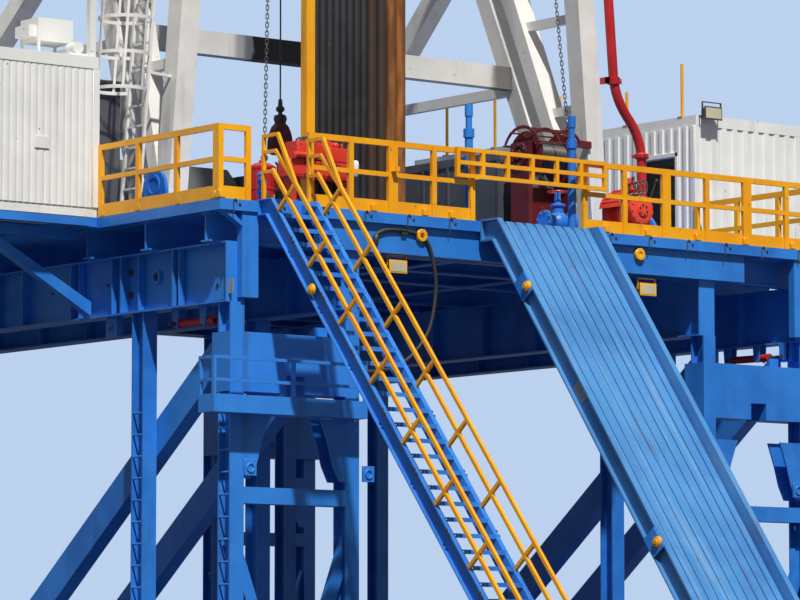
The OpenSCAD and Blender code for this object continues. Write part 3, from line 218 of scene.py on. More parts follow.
def turned(profile, centre, axis=(0, 0, 1), sides=24):
    """A profile of (radius, height) turned about an axis: point = centre + radius (a cos t + b sin t)
    + height axis, where a, b and the axis are square to each other."""
    axis = unit(np.asarray(axis, float))
    a = unit(np.cross(axis, (0.3, 0.5, 0.81)))
    b = np.cross(a, axis)
    around = circle(1.0, sides) @ np.stack([a, b])
    profile = np.asarray(profile, float)
    return capped(np.asarray(centre) + profile[:, None, :1] * around[None] + profile[:, None, 1:] * axis)


def block(low, high):
    """A box between two corners, as a rectangle carried along the y direction."""
    low, high = np.minimum(low, high), np.maximum(low, high)
    middle = (low + high) / 2
    path = np.array([(middle[0], low[1], middle[2]), (middle[0], high[1], middle[2])])
    return carried(oblong(high[0] - low[0], high[2] - low[2]), path)


def plate(outline, depth):
    """A flat outline (n, 3) made thick by the vector depth, whichever way round it was drawn."""
    outline = np.asarray(outline, float)
    depth = np.asarray(depth, float)
    following = np.roll(outline, -1, axis=0)
    if np.dot(np.cross(outline, following).sum(axis=0), depth) > 0:
        outline = outline[::-1]
    return capped(np.stack([outline, outline + depth]))


def copies(form, shifts):
    """Copies of one form, each moved by one row of shifts."""
    points, faces = form
    shifts = np.asarray(shifts, float).reshape(-1, 3)
    steps = np.arange(len(shifts))[:, None, None] * len(points)
    return ((points[None] + shifts[:, None]).reshape(-1, 3),
            [(block_of[None] + steps).reshape(-1, block_of.shape[1]) for block_of in faces])


def smooth_path(points, steps=8):
    """A curve through points, with Catmull and Rom's cubic between each neighbouring pair."""
    points = np.asarray(points, float)
    full = np.concatenate([2 * points[:1] - points[1:2], points, 2 * points[-1:] - points[-2:-1]])
    t = (np.arange(steps) / steps)[None, :, None]
    a, b, c, d = (full[i:len(full) - 3 + i, None] for i in range(4))
    squared, cubed = 2 * a - 5 * b + 4 * c - d, 3 * b - a - 3 * c + d
    curve = 0.5 * (2 * b + (c - a) * t + squared * t ** 2 + cubed * t ** 3)
    return np.concatenate([curve.reshape(-1, 3), points[-1:]])


def bolt(place, ahead, radius):
    """A six-sided bolt head on its washer, standing out from a face in the direction ahead."""
    washer, height = radius * 1.5, 0.009
    profile = [(0.0, -0.002), (washer, -0.002), (washer, 0.003), (radius, 0.003), (radius, height),
               (0.0, height)]
    return turned(profile, place, ahead, sides=6)


def joined_mesh(name, forms):
    """One mesh of several forms. A form is its points (n, 3) and a list of arrays (m, k) of
    point numbers, one array for each count k of corners."""
    starts = np.cumsum([0] + [len(points) for points, _ in forms])
    points = np.concatenate([points for points, _ in forms])
    faces = [np.asarray(part, np.int32) + start for form, start in zip(forms, starts) for part in form[1]]
    totals = np.concatenate([np.full(len(part), part.shape[1], np.int32) for part in faces])
    corners = np.concatenate([part.ravel() for part in faces])
    mesh = bpy.data.meshes.new(name)
    mesh.vertices.add(len(points))
    mesh.vertices.foreach_set("co", np.asarray(points, float).ravel())
    mesh.loops.add(len(corners))
    mesh.loops.foreach_set("vertex_index", corners)
    mesh.polygons.add(len(totals))
    mesh.polygons.foreach_set("loop_start", (np.cumsum(totals) - totals).astype(np.int32))
    mesh.polygons.foreach_set("loop_total", totals)
    mesh.update(calc_edges=True)
    return mesh


def piece(name, forms, slot, look=None, body="rig", bevel=0.0):
    """Joins forms in one piece, finishes it with the slot's finish or the given look, and says which body it
    belongs to.
    """
    mesh = joined_mesh(name, forms)
    mesh.polygons.foreach_set("use_smooth", np.ones(len(mesh.polygons), bool))
    mesh.set_sharp_from_angle(angle=math.radians(38))
    made = bpy.data.objects.new(name, mesh)
    bpy.context.scene.collection.objects.link(made)
    dress(made, look or finishes[slot])
    if bevel:
        rounding = made.modifiers.new("rounding", "BEVEL")
        rounding.width = bevel
        rounding.segments = 1
        rounding.limit_method = "ANGLE"
        rounding.harden_normals = False
    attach(made, body)
    print(name, "has", len(mesh.polygons), "faces")
    return made


# %% [markdown]
# The rig stands on a wide plain floor, which belongs to the studio and is marked as a backdrop.

# %% Floor of the studio
ground_reach = 140.0
ground_points = np.array([(-1, -1, 0), (1, -1, 0), (1, 1, 0), (-1, 1, 0)]) * ground_reach
ground = bpy.data.objects.new("ground", joined_mesh("ground", [(ground_points, [np.array([[0, 1, 2, 3]])])]))
bpy.context.scene.collection.objects.link(ground)
ground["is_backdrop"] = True

# %% [markdown]
# Paint outdoors is never one colour. Rain draws pale and rusty streaks down it, dust lies on what
# faces up, and edges lose their paint first. Each of these is a mask, and a mask is arithmetic on a
# few textures. So that the arithmetic reads like arithmetic, a small class wraps a socket and gives
# it Python's operators. Each operator adds one Math node.

# %% A socket that does arithmetic
class Wire:
    """One output socket of a material under construction."""

    def __init__(self, paint, socket):
        self.paint = paint
        self.socket = socket

    def __add__(self, other):
        return self.paint.maths("ADD", self, other)

    def __sub__(self, other):
        return self.paint.maths("SUBTRACT", self, other)

    def __rsub__(self, other):
        return self.paint.maths("SUBTRACT", other, self)

    def __mul__(self, other):
        return self.paint.maths("MULTIPLY", self, other)

    __radd__ = __add__
    __rmul__ = __mul__


# %% A material under construction
class Paint:
    """A material whose nodes are made by one method, add(), and joined by Wires."""

    def __init__(self, name):
        self.material = bpy.data.materials.new(name)
        self.material.use_nodes = True
        self.tree = self.material.node_tree
        self.tree.nodes.clear()
        self.place = self.add("TexCoord", out="Object")

    def add(self, kind, settings=None, sockets=None, out=0):
        """Makes a node, applies its settings first, then fills or links its sockets."""
        node = self.tree.nodes.new("ShaderNode" + kind)
        for name, value in (settings or {}).items():
            setattr(node, name, value)
        for name, value in (sockets or {}).items():
            if isinstance(value, Wire):
                self.tree.links.new(value.socket, node.inputs[name])
            else:
                node.inputs[name].default_value = value
        return Wire(self, node.outputs[out])

    def maths(self, operation, first, second):
        return self.add("Math", {"operation": operation}, {0: first, 1: second})

    def mix(self, share, first, second):
        """Colour mix; share 0 gives the first and 1 the second."""
        first, second = [(*c, 1) if isinstance(c, tuple) else c for c in (first, second)]
        return self.add("Mix", {"data_type": "RGBA"}, {0: share, 6: first, 7: second}, out=2)

    def span(self, value, low, high):
        """Maps low..high smoothly onto 0..1 and holds the ends."""
        return self.add("MapRange", {"interpolation_type": "SMOOTHSTEP"}, {0: value, 1: low, 2: high})

    def noise(self, scale, detail, stretch=(1, 1, 1), shift=(0, 0, 0)):
        """Cloudy noise on the object's own coordinates, in cycles per metre."""
        moved = self.add("Mapping", {}, {"Vector": self.place, "Scale": stretch, "Location": shift})
        sockets = {"Vector": moved, "Scale": scale, "Detail": detail, "Roughness": 0.55}
        return self.add("TexNoise", {}, sockets)

    def facing_up(self):
        normal = self.add("NewGeometry", out="Normal")
        return self.add("SeparateXYZ", {}, {0: normal}, out=2)

    def edges(self, radius):
        """1 along outer edges within the radius, where paint wears off first and where a painted
        highlight lies.
        """
        soft = self.add("Bevel", {"samples": 4}, {"Radius": radius})
        sharp = self.add("NewGeometry", out="True Normal")
        along = self.add("VectorMath", {"operation": "DOT_PRODUCT"}, {0: soft, 1: sharp}, out="Value")
        return self.span(1 - along, 0.015, 0.16)

    def finish(self, colour, roughness, bump=None):
        """Joins everything to one Principled shader, with a shallow bump where one is given."""
        sockets = {"Base Color": colour, "Roughness": roughness}
        if bump is not None:
            sockets["Normal"] = self.add("Bump", {}, {"Height": bump, "Distance": 0.0016, "Strength": 1.0})
        shader = self.add("BsdfPrincipled", {}, sockets)
        output = self.tree.nodes.new("ShaderNodeOutputMaterial")
        self.tree.links.new(shader.socket, output.inputs["Surface"])
        return self.material


# %% [markdown]
# One recipe makes every painted finish. The base tone drifts a little from place to place. Dust
# pales what faces up. Streaks are noise squeezed so that it runs down the steel, and they show
# rust or grime. Chips are patches of noise that reach further along the edges, and they show a
# primer and bare rusty steel. Where no chip is, the edges get a lighter tone, a painted highlight.
# The same masks drive the roughness and a shallow bump.

# %% Painted steel
rust_tone = (0.16, 0.055, 0.022)
grime_tone = (0.035, 0.032, 0.03)
dust_tone = (0.42, 0.37, 0.30)


def painted(name, tone, shade, seed, gloss=0.38, streaks=0.35, chips=0.5, dust=0.3, edge=0.006,
            marks=None):
    """Weathered paint, with a painted highlight along its edges. tone and shade are the paint's
    lightest and darkest drift, and marks gives (mask, colour) pairs that lie on top of it."""
    paint = Paint(name)
    drift = paint.noise(0.9, 3, shift=(seed, seed, 0))
    base = paint.mix(paint.span(drift, 0.35, 0.65), shade, tone)
    patch = paint.span(paint.noise(5.0, 6, shift=(seed, 0, seed)), 0.42, 0.68)
    base = paint.mix(patch * 0.22, base, tuple(min(1, c * 1.25 + 0.02) for c in tone))
    for mask, colour in (marks(paint) if marks else []):
        base = paint.mix(mask, base, colour)
    runs = paint.noise(7.0, 5, stretch=(1, 1, 0.06), shift=(seed, 3.1, 0))
    wet = paint.noise(0.7, 2, shift=(2.0, seed, 5.0))
    streak = paint.span(runs, 0.54, 0.72) * paint.span(wet, 0.38, 0.7) * streaks
    base = paint.mix(streak, base, grime_tone)
    up = paint.span(paint.facing_up(), 0.55, 0.95)
    lying = up * paint.span(paint.noise(3.0, 4, shift=(0, seed, 1)), 0.25, 0.7) * dust
    base = paint.mix(lying, base, dust_tone)
    wear_and_highlight_edges = paint.edges(edge)
    flake = paint.noise(24.0, 5, shift=(seed, seed, 2))
    chip = paint.span(flake + wear_and_highlight_edges * 0.24 * chips, 0.70 - 0.02 * chips, 0.76 - 0.02 * chips)
    speckle = paint.span(paint.noise(60.0, 2), 0.4, 0.6)
    rusty = paint.mix(speckle, rust_tone, tuple(c * 2.2 for c in rust_tone))
    base = paint.mix(chip, base, rusty)
    # where no chip is, a lighter tone along the edges paints a highlight
    painted_edge_highlight = wear_and_highlight_edges * (1 - chip) * 0.25
    base = paint.mix(painted_edge_highlight, base, tuple(min(1, c * 1.5 + 0.05) for c in tone))
    rough = gloss + paint.noise(12.0, 3) * 0.18 - 0.08 + lying * 0.3 + chip * 0.35 + streak * 0.2
    skin = paint.noise(160.0, 2) * 0.12 - chip * 0.6 + paint.noise(2.5, 2) * 0.5
    return paint.finish(base, rough, bump=skin)


finishes = {
    "blue_paint": painted("blue paint", (0.031, 0.232, 0.74), (0.018, 0.160, 0.59), 1.0, streaks=0.40),
    "yellow_paint": painted("yellow paint", (1.0, 0.46, 0.006), (0.90, 0.36, 0.004), 2.0, gloss=0.36,
                            streaks=0.30, chips=0.7, dust=0.15),
    "mast_paint": painted("mast paint", (0.84, 0.83, 0.79), (0.72, 0.71, 0.67), 3.0, gloss=0.45,
                          streaks=0.55, chips=0.6),
    "pale_paint": painted("house paint", (0.84, 0.85, 0.83), (0.76, 0.77, 0.75), 4.0, gloss=0.42, chips=0.25),
    "grey_paint": painted("grey paint", (0.10, 0.105, 0.115), (0.06, 0.065, 0.075), 5.0, gloss=0.5,
                          streaks=0.3),
    "red_paint": painted("red paint", (0.58, 0.022, 0.028), (0.44, 0.012, 0.018), 6.0, gloss=0.34),
    "dark_red_paint": painted("dark red paint", (0.15, 0.012, 0.016), (0.07, 0.008, 0.010), 7.0, gloss=0.4,
                              streaks=0.6, chips=0.8),
    "orange_red_paint": painted("machine red paint", (0.90, 0.075, 0.035), (0.66, 0.035, 0.02), 8.0,
                                gloss=0.34, streaks=0.45),
    "pipe_steel": painted("old steel", (0.075, 0.066, 0.06), (0.035, 0.032, 0.03), 9.0, gloss=0.45,
                          streaks=0.5, chips=0.2),
}

# %% [markdown]
# Some steel carries marks of its own: grease together with a painted shadow of the pipes on the
# beam under the hoist, a painted shadow at the beam's right end, rust that differs from pipe to
# pipe, and scuffs on the ramp. A mark is a mask on Object coordinates and a colour.

# %% Marks on single pieces
def on_beam(paint):
    """Grease and a painted shadow of the pipes under the hoist in the middle of the beam, and a
    painted shadow at its right end.
    """
    along = paint.add("SeparateXYZ", {}, {0: paint.place}, out=0)
    blot = paint.noise(4.0, 5)
    # the middle mark is grease together with the painted shadow that the pipes cast on the beam
    middle = paint.span(along + blot * 0.12, -0.80, -0.72) * (1 - paint.span(along, -0.2, -0.1))
    # the end mark is a painted shadow at the beam's right end
    end = paint.span(along + blot * 0.2, 1.90, 2.0) * 0.8
    grease_and_painted_shadow = paint.span(middle * 0.72 + blot * 0.4, 0.45, 0.85)
    return [(grease_and_painted_shadow, (0.035, 0.030, 0.022)), (end, (0.05, 0.045, 0.04))]


def on_pipes(paint):
    """The first eight pipes are dark, the next two brown, and the last two orange with rust."""
    across = paint.add("SeparateXYZ", {}, {0: paint.place}, out=0)
    stains = paint.span(paint.noise(9.0, 6, stretch=(1, 1, 0.18)), 0.38, 0.66)
    brown = paint.span(across, -1.2612, -1.2608)
    orange = paint.span(across, -1.0662, -1.0658)
    return [(brown * (stains * 0.5 + 0.5), (0.060, 0.034, 0.022)), (orange, (0.15, 0.060, 0.022)),
            (orange * stains, (0.46, 0.17, 0.035))]


def on_ramp(paint):
    """Pale scuffs and rust where pipe is dragged: noise drawn out along the slope."""
    scuffs = paint.span(paint.noise(16.0, 5, stretch=(1, 0.05, 0.05)), 0.52, 0.72)
    rust = paint.span(paint.noise(30.0, 4, stretch=(1, 0.03, 0.03), shift=(3, 1, 2)), 0.60, 0.72)
    spots = paint.span(paint.noise(3.0, 3), 0.40, 0.62)
    return [(scuffs * 0.5, (0.24, 0.42, 0.62)), (rust * spots * 0.75, (0.13, 0.10, 0.08))]


beam_paint = painted("beam paint", (0.74, 0.73, 0.69), (0.60, 0.59, 0.55), 3.5, gloss=0.45, streaks=0.55,
                     chips=0.6, marks=on_beam)
pipe_finish = painted("pipe steel", (0.034, 0.035, 0.040), (0.018, 0.019, 0.022), 10.0, gloss=0.42,
                      streaks=0.2, chips=0.1, marks=on_pipes)
ramp_paint = painted("ramp paint", (0.077, 0.275, 0.60), (0.050, 0.20, 0.49), 11.0, gloss=0.36, streaks=0.15,
                     marks=on_ramp)
rubber = painted("rubber", (0.030, 0.029, 0.028), (0.018, 0.018, 0.018), 12.0, gloss=0.55, streaks=0.1,
                 chips=0.0, dust=0.45, edge=0.002)
bare_plate = painted("bare plate", (0.36, 0.37, 0.36), (0.28, 0.29, 0.29), 13.0, gloss=0.4, streaks=0.4,
                     chips=0.3)
lamp_glass = painted("lamp glass", (0.62, 0.58, 0.40), (0.50, 0.45, 0.30), 14.0, gloss=0.12, streaks=0.1,
                     chips=0.0, dust=0.1)
dark_glass = painted("dark glass", (0.035, 0.045, 0.050), (0.020, 0.026, 0.030), 15.0, gloss=0.12,
                     streaks=0.1, chips=0.0, dust=0.2)

# %% The studio's floor
floor_paint = Paint("studio floor")
floor_tone = floor_paint.mix(floor_paint.noise(0.4, 3), (0.70, 0.70, 0.69), (0.74, 0.74, 0.73))
seen_directly = floor_paint.add("LightPath", out="Is Camera Ray")
floor_tone = floor_paint.mix(seen_directly, (0.10, 0.10, 0.10), floor_tone)
ground.data.materials.append(floor_paint.finish(floor_tone, 0.8))

# %% [markdown]
# The record says which finish each solid has, so the solids are dressed in one pass.

# %% Dressing the solids
def dress(thing, material):
    """Gives a piece one finish and no other."""
    thing.data.materials.clear()
    thing.data.materials.append(material)


for row in frame["record"]["subparts"]:
    dress(frame["nodes"][row["node"]], finishes[row["material_slot"]])
for name, material in {"a_frame_beam": beam_paint, "pipe_stands": pipe_finish, "ramp": ramp_paint}.items():
    dress(frame["nodes"][name], material)
print("dressed", len(frame["nodes"]), "solids in", len(finishes), "finishes")

# %% [markdown]
# The machines and fittings are made of many plain parts in rows, so a few short helpers list them.
# Places are in millimetres, in the order x, setback, height, as a rig's drawings give them, and
# radii are in metres.

# %% Rows of parts
ACROSS, FORWARD, BACK, UP = (1, 0, 0), (0, -1, 0), (0, 1, 0), (0, 0, 1)


def blocks(rows, x=0):
    """Boxes from rows of two corners (x, setback, height, x, setback, height), moved sideways by x."""
    return [block(at(x + row[0], row[1], row[2]), at(x + row[3], row[4], row[5])) for row in rows]


def spots(xs, setbacks, heights):
    """The places at every combination of the given x, setbacks and heights."""
    return [at(x, setback, height) for x in xs for setback in setbacks for height in heights]


def bolts(places, ahead, radius):
    """The same bolt at many places."""
    return [bolt(place, ahead, radius) for place in places]


def disc(place, axis, radius, height, sides=18):
    """A short plain cylinder."""
    return turned([(0.0, 0.0), (radius, 0.0), (radius, height), (0.0, height)], place, axis, sides)


# %% [markdown]
# The two houses are boxes of thin sheet, pressed into upright ribs so that it stays flat. The
# left house has broad ribs with narrow grooves between them, and the right house has the deep even
# ribs of a freight container. A bump texture would look flat at the corners, so a real rib profile
# is carried upwards, between corner posts, and split where a door or window is.

# %% Corrugated walls
house_front, house_back = 1675, 5675
house_inner, house_outer = 3175.3, 4425.3
house_width, house_length = 1.25, 4.0
sheet_bottom = 4575
corner_post = 0.05
rib_pitch = 0.125
lining = 0.002
narrow_grooves = [(0.0, 0.15), (0.06, 1.0), (0.44, 1.0), (0.50, 0.15), (0.56, 1.0), (0.94, 1.0)]
even_ribs = [(0.0, 0.0), (0.10, 1.0), (0.50, 1.0), (0.60, 0.0)]
door = (250, 700, 4575, 5520)
window = (2500, 3300, 5000, 5520)


def sheet(corner, length, low, high, outward, wave, depth):
    """A ribbed sheet on a wall: its front is the wave (share of pitch, share of depth) repeated
    along u, its back lies on the wall, and the outline is carried from low to high."""
    ribs = max(1, round(length / rib_pitch))
    step = length / ribs
    starts = np.arange(ribs)[:, None, None] * (step, 0)
    front = starts + np.asarray(wave) * (step, depth - lining) + (0, lining)
    back = [(0, 0.0005), (length, 0.0005), (length, lining)]
    outline = np.concatenate([back, front.reshape(-1, 2)[::-1]])
    return carried(outline, [(*corner, low), (*corner, high)], up=outward)


def inner_stretches(low, high):
    """The inner wall's stretches as (from, to, low, high), round the door and the window."""
    return [(0, door[0], low, high), (door[0], door[1], door[3], high), (door[1], window[0], low, high),
            (window[0], window[1], low, window[2]), (window[0], window[1], window[3], high),
            (window[1], 1000 * house_length, low, high)]


def house_sheets(side, top, wave, depth):
    """All four walls of one house between its corner posts."""
    inner, outer = side * house_inner / 1000, side * house_outer / 1000
    front, back = behind(house_front / 1000), behind(house_back / 1000)
    west, east = min(inner, outer), max(inner, outer)
    low, high = sheet_bottom / 1000, top / 1000
    width, run = house_width - 2 * corner_post, house_length - 2 * corner_post
    outer_start = (outer, back - corner_post) if side == LEFT else (outer, front + corner_post)
    forms = [sheet((west + corner_post, front), width, low, high, FORWARD, wave, depth),
             sheet((east - corner_post, back), width, low, high, BACK, wave, depth),
             sheet(outer_start, run, low, high, (side, 0, 0), wave, depth)]
    for begin, end, bottom, limit in inner_stretches(sheet_bottom, top):
        begin = max(begin / 1000, corner_post)
        end = min(end / 1000, house_length - corner_post)
        start = (inner, front + begin) if side == LEFT else (inner, front + end)
        forms.append(sheet(start, end - begin, bottom / 1000, limit / 1000, (-side, 0, 0), wave, depth))
    return forms


def house_trims(side, top):
    """Corner posts, and the frames of the door and the window."""
    inner, outer = side * house_inner, side * house_outer
    proud, post, rim = 14, 1000 * corner_post, 40
    forms = []
    for x, out in ((inner, -side), (outer, side)):
        for y, ahead in ((house_front, -1), (house_back, 1)):
            forms += blocks([(x - out * post, y + ahead * proud, sheet_bottom, x + out * proud, y, top),
                             (x, y - ahead * post, sheet_bottom, x + out * proud, y, top)])
    face = inner - side * 1.3 * proud
    for begin, end, bottom, limit in (door, window):
        y0, y1 = house_front + begin, house_front + end
        forms += blocks([(inner, y0 - rim, bottom, face, y0, limit + rim),
                         (inner, y1, bottom, face, y1 + rim, limit + rim),
                         (inner, y0 - rim, limit, face, y1 + rim, limit + rim),
                         (inner, y0 - rim, bottom - rim, face, y1 + rim, bottom)])
    return forms


doghouse_top, cabin_top = 5680, 5775
piece("doghouse_sheets", house_sheets(LEFT, doghouse_top, narrow_grooves, 0.009), "pale_paint")
piece("doghouse_trims", house_trims(LEFT, doghouse_top), "pale_paint", bevel=0.003)
piece("cabin_sheets", house_sheets(RIGHT, cabin_top, even_ribs, 0.014), "pale_paint")
piece("cabin_trims", house_trims(RIGHT, cabin_top), "pale_paint", bevel=0.003)

# %% [markdown]
# A rig is climbed at every corner, so the columns carry rungs between their flanges. A rung is one
# round bar, and its copies are moved up the column, which costs no more thought than one bar.

# %% Rungs on the columns
rung_x = 3022
rung_pitch = 170
rung_heights = np.arange(560, 3000, rung_pitch)[:, None] * (0, 0, 0.001)


def rungs(side, row, heights):
    """One bar across a column's open side, copied up it."""
    ends = [at(side * rung_x, row + 11, 0), at(side * rung_x, row + 149, 0)]
    return copies(carried(circle(0.008, 8), ends), heights)


column_rungs = [rungs(side, row, rung_heights) for side in SIDES for row in (60, 1225)]
column_rungs += [rungs(side, row, rung_heights[::2]) for side in SIDES for row in (5915, 7080)]
piece("column_rungs", column_rungs, "blue_paint")

# %% [markdown]
# The long ladder on the mast has a safety cage: hoops bent from flat bar, and straps that join
# them. A hoop is the part of a circle that lies outside the ladder's plane, so its ends meet the
# ladder's stiles. The hoops lean with the mast, one shift for every step up.

# %% The ladder's cage
ladder_low, ladder_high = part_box("mast_ladder")
ladder_lean = 0.0778
ladder_foot_x, ladder_foot_height = -2660.6, 4559
cage_gap = 12
cage_setback = 1975
stile_half = 137
cage_radius = 215
cage_reach = math.sqrt(cage_radius ** 2 - stile_half ** 2)
hoop_pitch = 290
hoop_heights = np.arange(5590, 14600, hoop_pitch)


def ladder_x(height):
    """The ladder leans with the mast: x grows by the lean times the height above its foot."""
    return ladder_foot_x + (height - ladder_foot_height) * ladder_lean - cage_gap


def hoop_points(height, turn):
    """Centre + radius (-cos t, sin t), the centre lying in front of the ladder by the reach."""
    x = ladder_x(height) - cage_reach - cage_radius * np.cos(turn)
    setback = cage_setback + cage_radius * np.sin(turn)
    return np.stack([x, setback, np.full_like(turn, height)], axis=-1) / 1000 + (0, edge_y, 0)


hoop_end = math.pi - math.asin(stile_half / cage_radius)
hoop_turn = np.linspace(-hoop_end, hoop_end, 25)
cage = [carried(oblong(0.004, 0.028), hoop_points(height, hoop_turn)) for height in hoop_heights]
for turn in np.radians([-110, -62, 0, 62, 110]):
    ends = [hoop_points(height, np.array([turn]))[0] for height in (hoop_heights[0], hoop_heights[-1])]
    cage.append(carried(oblong(0.022, 0.004), ends, up=(-math.cos(turn), math.sin(turn), 0)))
piece("ladder_cage", cage, "mast_paint")
print(len(hoop_heights), "hoops round a ladder that reaches from", round(ladder_low.z, 2), "to",
      round(ladder_high.z, 2), "m")

# %% [markdown]
# A chain is one stadium-shaped link again and again, each turned by a quarter against the one
# before. Its two link shapes are copied along the line, so thousands of faces need two formulas.
# Both chains are taut: they hang from the racking board, high on the mast.

# %% Chains
link_pitch = 0.036
link_half_width = 0.012
link_wire = 0.0042
board_height = 17210


def link(along, across):
    """A wire carried round a stadium: point = along (a sin t + s) + across (a cos t), where the
    straight part s has the sign of sin t."""
    turn = np.arange(10) * 2 * math.pi / 10 + 0.2
    half_straight = link_pitch / 2 + link_wire * 1.6 - link_half_width
    far = link_half_width * np.sin(turn) + np.sign(np.sin(turn)) * half_straight
    path = far[:, None] * along + (link_half_width * np.cos(turn))[:, None] * across
    return carried(circle(link_wire, 5), path, up=np.cross(along, across), loop=True)


def chain(start, end):
    """Two kinds of link, a quarter turn apart, on even and odd places of the line."""
    along = unit(end - start)
    first = unit(np.cross(along, (0.6, 0.8, 0)))
    count = int(np.linalg.norm(end - start) / link_pitch)
    centres = start + np.arange(count)[:, None] * link_pitch * along
    second = np.cross(along, first)
    return [copies(link(along, first), centres[::2]), copies(link(along, second), centres[1::2])]


left_chain = chain(at(-1650, 1525, 5100), at(-1142, 1850, board_height))
right_chain = chain(at(1850, 1850, 5648), at(490, 1850, board_height))
piece("hoist_chains", left_chain + right_chain, "pipe_steel")

# %% [markdown]
# The pipe ramp's deck is a row of long steel strips with narrow gaps, in which rust and mud
# collect. The solids have every second strip, so thinner ones are laid between them. Along both
# beams sit joint plates, yellow rollers and bare reflector plates, and the stair beside it is
# bolted through its stringers. Every place is given by its depth below a sloping top line, so
# nothing floats off the slope.

# %% Slopes of the ramp and the stair
ramp_slope = math.radians(53.4)
ramp_rise = 295
ramp_low_x, ramp_high_x = -584, 414
ramp_left, ramp_right = -636, 466
ramp_ribs = 10
stair_slope = math.radians(50.4)
stair_rise = 215
stringers = ((-2823, -1), (-2367, 1))


def down(slope, rise, x, depth, height):
    """A place on a slope that leans on the floor's edge, so far below its top line, at a height."""
    run = (rise - depth / math.cos(slope) - (height - deck)) / math.tan(slope)
    return at(x, -run, height)


def on_slope(x, depth, height):
    """A place on the ramp."""
    return down(ramp_slope, ramp_rise, x, depth, height)


# %% Ramp fittings
def roller(place, radius, length):
    """A roller on the left face of a beam: its radius steps in between two rims."""
    steps = [(0.35, 0.0), (1.0, 0.0), (1.0, 0.25), (0.82, 0.3), (0.82, 0.8), (0.5, 0.8), (0.4, 1.0),
             (0.0, 1.0)]
    return turned(np.array(steps) * (radius, length), place, (-1, 0, 0), sides=20)


strip_pitch = (ramp_high_x - ramp_low_x) / ramp_ribs
strip_x = ramp_low_x + np.arange(1, ramp_ribs) * strip_pitch
strip = carried(oblong(0.030, 0.016), [on_slope(0, 99, 4470), on_slope(0, 99, 30)])
piece("ramp_strips", [copies(strip, strip_x[:, None] * (0.001, 0, 0))], "blue_paint", look=ramp_paint)

joint_plates, reflectors = [], []
for x, side in ((ramp_left, -1), (ramp_right, 1)):
    for height in (3860, 1810):
        line = [on_slope(x + side * 4, 80, height), on_slope(x + side * 4, 80, height + 150)]
        joint_plates.append(carried(oblong(0.010, 0.150), line))
    for height in (3000, 1250):
        line = [on_slope(x - side * 33, 84, height), on_slope(x - side * 33, 84, height + 140)]
        reflectors.append(carried(oblong(0.004, 0.085), line))

rollers = [roller(on_slope(ramp_left, 40, height), 0.045, 0.035) for height in (3933, 1890)]
rollers.append(roller(down(stair_slope, stair_rise, -2822, 66, 3768), 0.044, 0.030))
piece("side_rollers", rollers, "yellow_paint", bevel=0.002)
piece("ramp_joint_plates", joint_plates, "blue_paint", bevel=0.002)
piece("reflector_plates", reflectors, "grey_paint", look=bare_plate)

# %% Stair bolts
stair_bolts = []
for height in np.linspace(560, 4180, 9):
    for x, side in stringers:
        pair = [down(stair_slope, stair_rise, x, 6, height - drop) for drop in (0, 34)]
        stair_bolts += bolts(pair, (side, 0, 0), 0.009)
piece("stair_bolts", stair_bolts, "pipe_steel")

# %% [markdown]
# Under the front edge hang two floodlights. A lamp is a hood that widens forwards, a lip, a glass
# that stands in it, and a bent bracket that carries it. Four corners at the back and four in front
# are enough for the hood, and a small bevel catches the light on its edges.

# %% Floodlights
def floodlight(middle, width, height, depth):
    """A lamp's metal parts and its glass."""
    x, setback, z = middle
    w, h = width / 2, height / 2
    corners = np.array([(-1, -1), (1, -1), (1, 1), (-1, 1)])
    front = [at(x + u * w, setback, z + v * h) for u, v in corners]
    back = [at(x + u * w * 0.6, setback + depth, z + v * h * 0.7) for u, v in corners]
    metal = [capped(np.array([front, back]))]
    metal += blocks([(-w - 4, setback - 8, z - h - 4, w + 4, setback, z + h + 4),
                     (-w - 12, setback + 8, z, -w - 6, setback + 30, z + h + 44),
                     (w + 6, setback + 8, z, w + 12, setback + 30, z + h + 44),
                     (-w - 12, setback + 8, z + h + 38, w + 12, setback + 30, z + h + 46)], x)
    glass = blocks([(-w + 10, setback - 11, z - h + 9, w - 10, setback - 7, z + h - 9)], x)
    return metal, glass


left_metal, left_glass = floodlight((-1405, 80, 4093), 170, 96, 90)
right_metal, right_glass = floodlight((1203, 80, 4070), 170, 96, 90)
piece("floodlights", left_metal + right_metal, "yellow_paint", bevel=0.002)
piece("floodlight_glasses", left_glass + right_glass, "pale_paint", look=lamp_glass)

# %% [markdown]
# Beside the lamps are round yellow caps that close the floor's cross pipes, a hose in a wide loop
# that is clamped at both ends, and drop pins. The hose follows a smooth curve through points that
# were read along it. It is fixed at both ends and never moves, so it is a plain rigid piece.

# %% Fittings on the front edge
cap = [(0.0, 0.0), (0.048, 0.0), (0.052, 0.006), (0.052, 0.030), (0.046, 0.036), (0.022, 0.036),
       (0.020, 0.026), (0.0, 0.026)]
piece("pipe_caps", [turned(cap, at(x, 44.5, 4348), FORWARD, 28) for x in (-1211, 1068)], "yellow_paint")

hose_route = [(-1664, 4300), (-1634, 4338), (-1540, 4368), (-1386, 4373), (-1186, 4331), (-1106, 4202),
              (-1065, 4006), (-1072, 3847), (-1105, 3687), (-1156, 3566), (-1256, 3442), (-1355, 3358),
              (-1500, 3285), (-1680, 3250), (-1795, 3245)]
hose_path = smooth_path([at(x, 30, z) for x, z in hose_route], 6)
first_end = [hose_path[0] - (0.0, 0, 0.05), hose_path[0] + (0.006, 0, 0.02)]
last_end = hose_path[-1] + np.array([(0.02, 0, 0.016), (-0.03, 0, -0.026)])
fittings = [carried(circle(0.024, 10), end, up=BACK) for end in (first_end, last_end)]
fittings.append(carried(oblong(0.05, 0.012), [at(-1386, 12, 4350), at(-1386, 46, 4350)]))
piece("edge_hose", [carried(circle(0.016, 12), hose_path, up=BACK)], "grey_paint", look=rubber)
piece("hose_fittings", fittings, "pipe_steel", bevel=0.001)

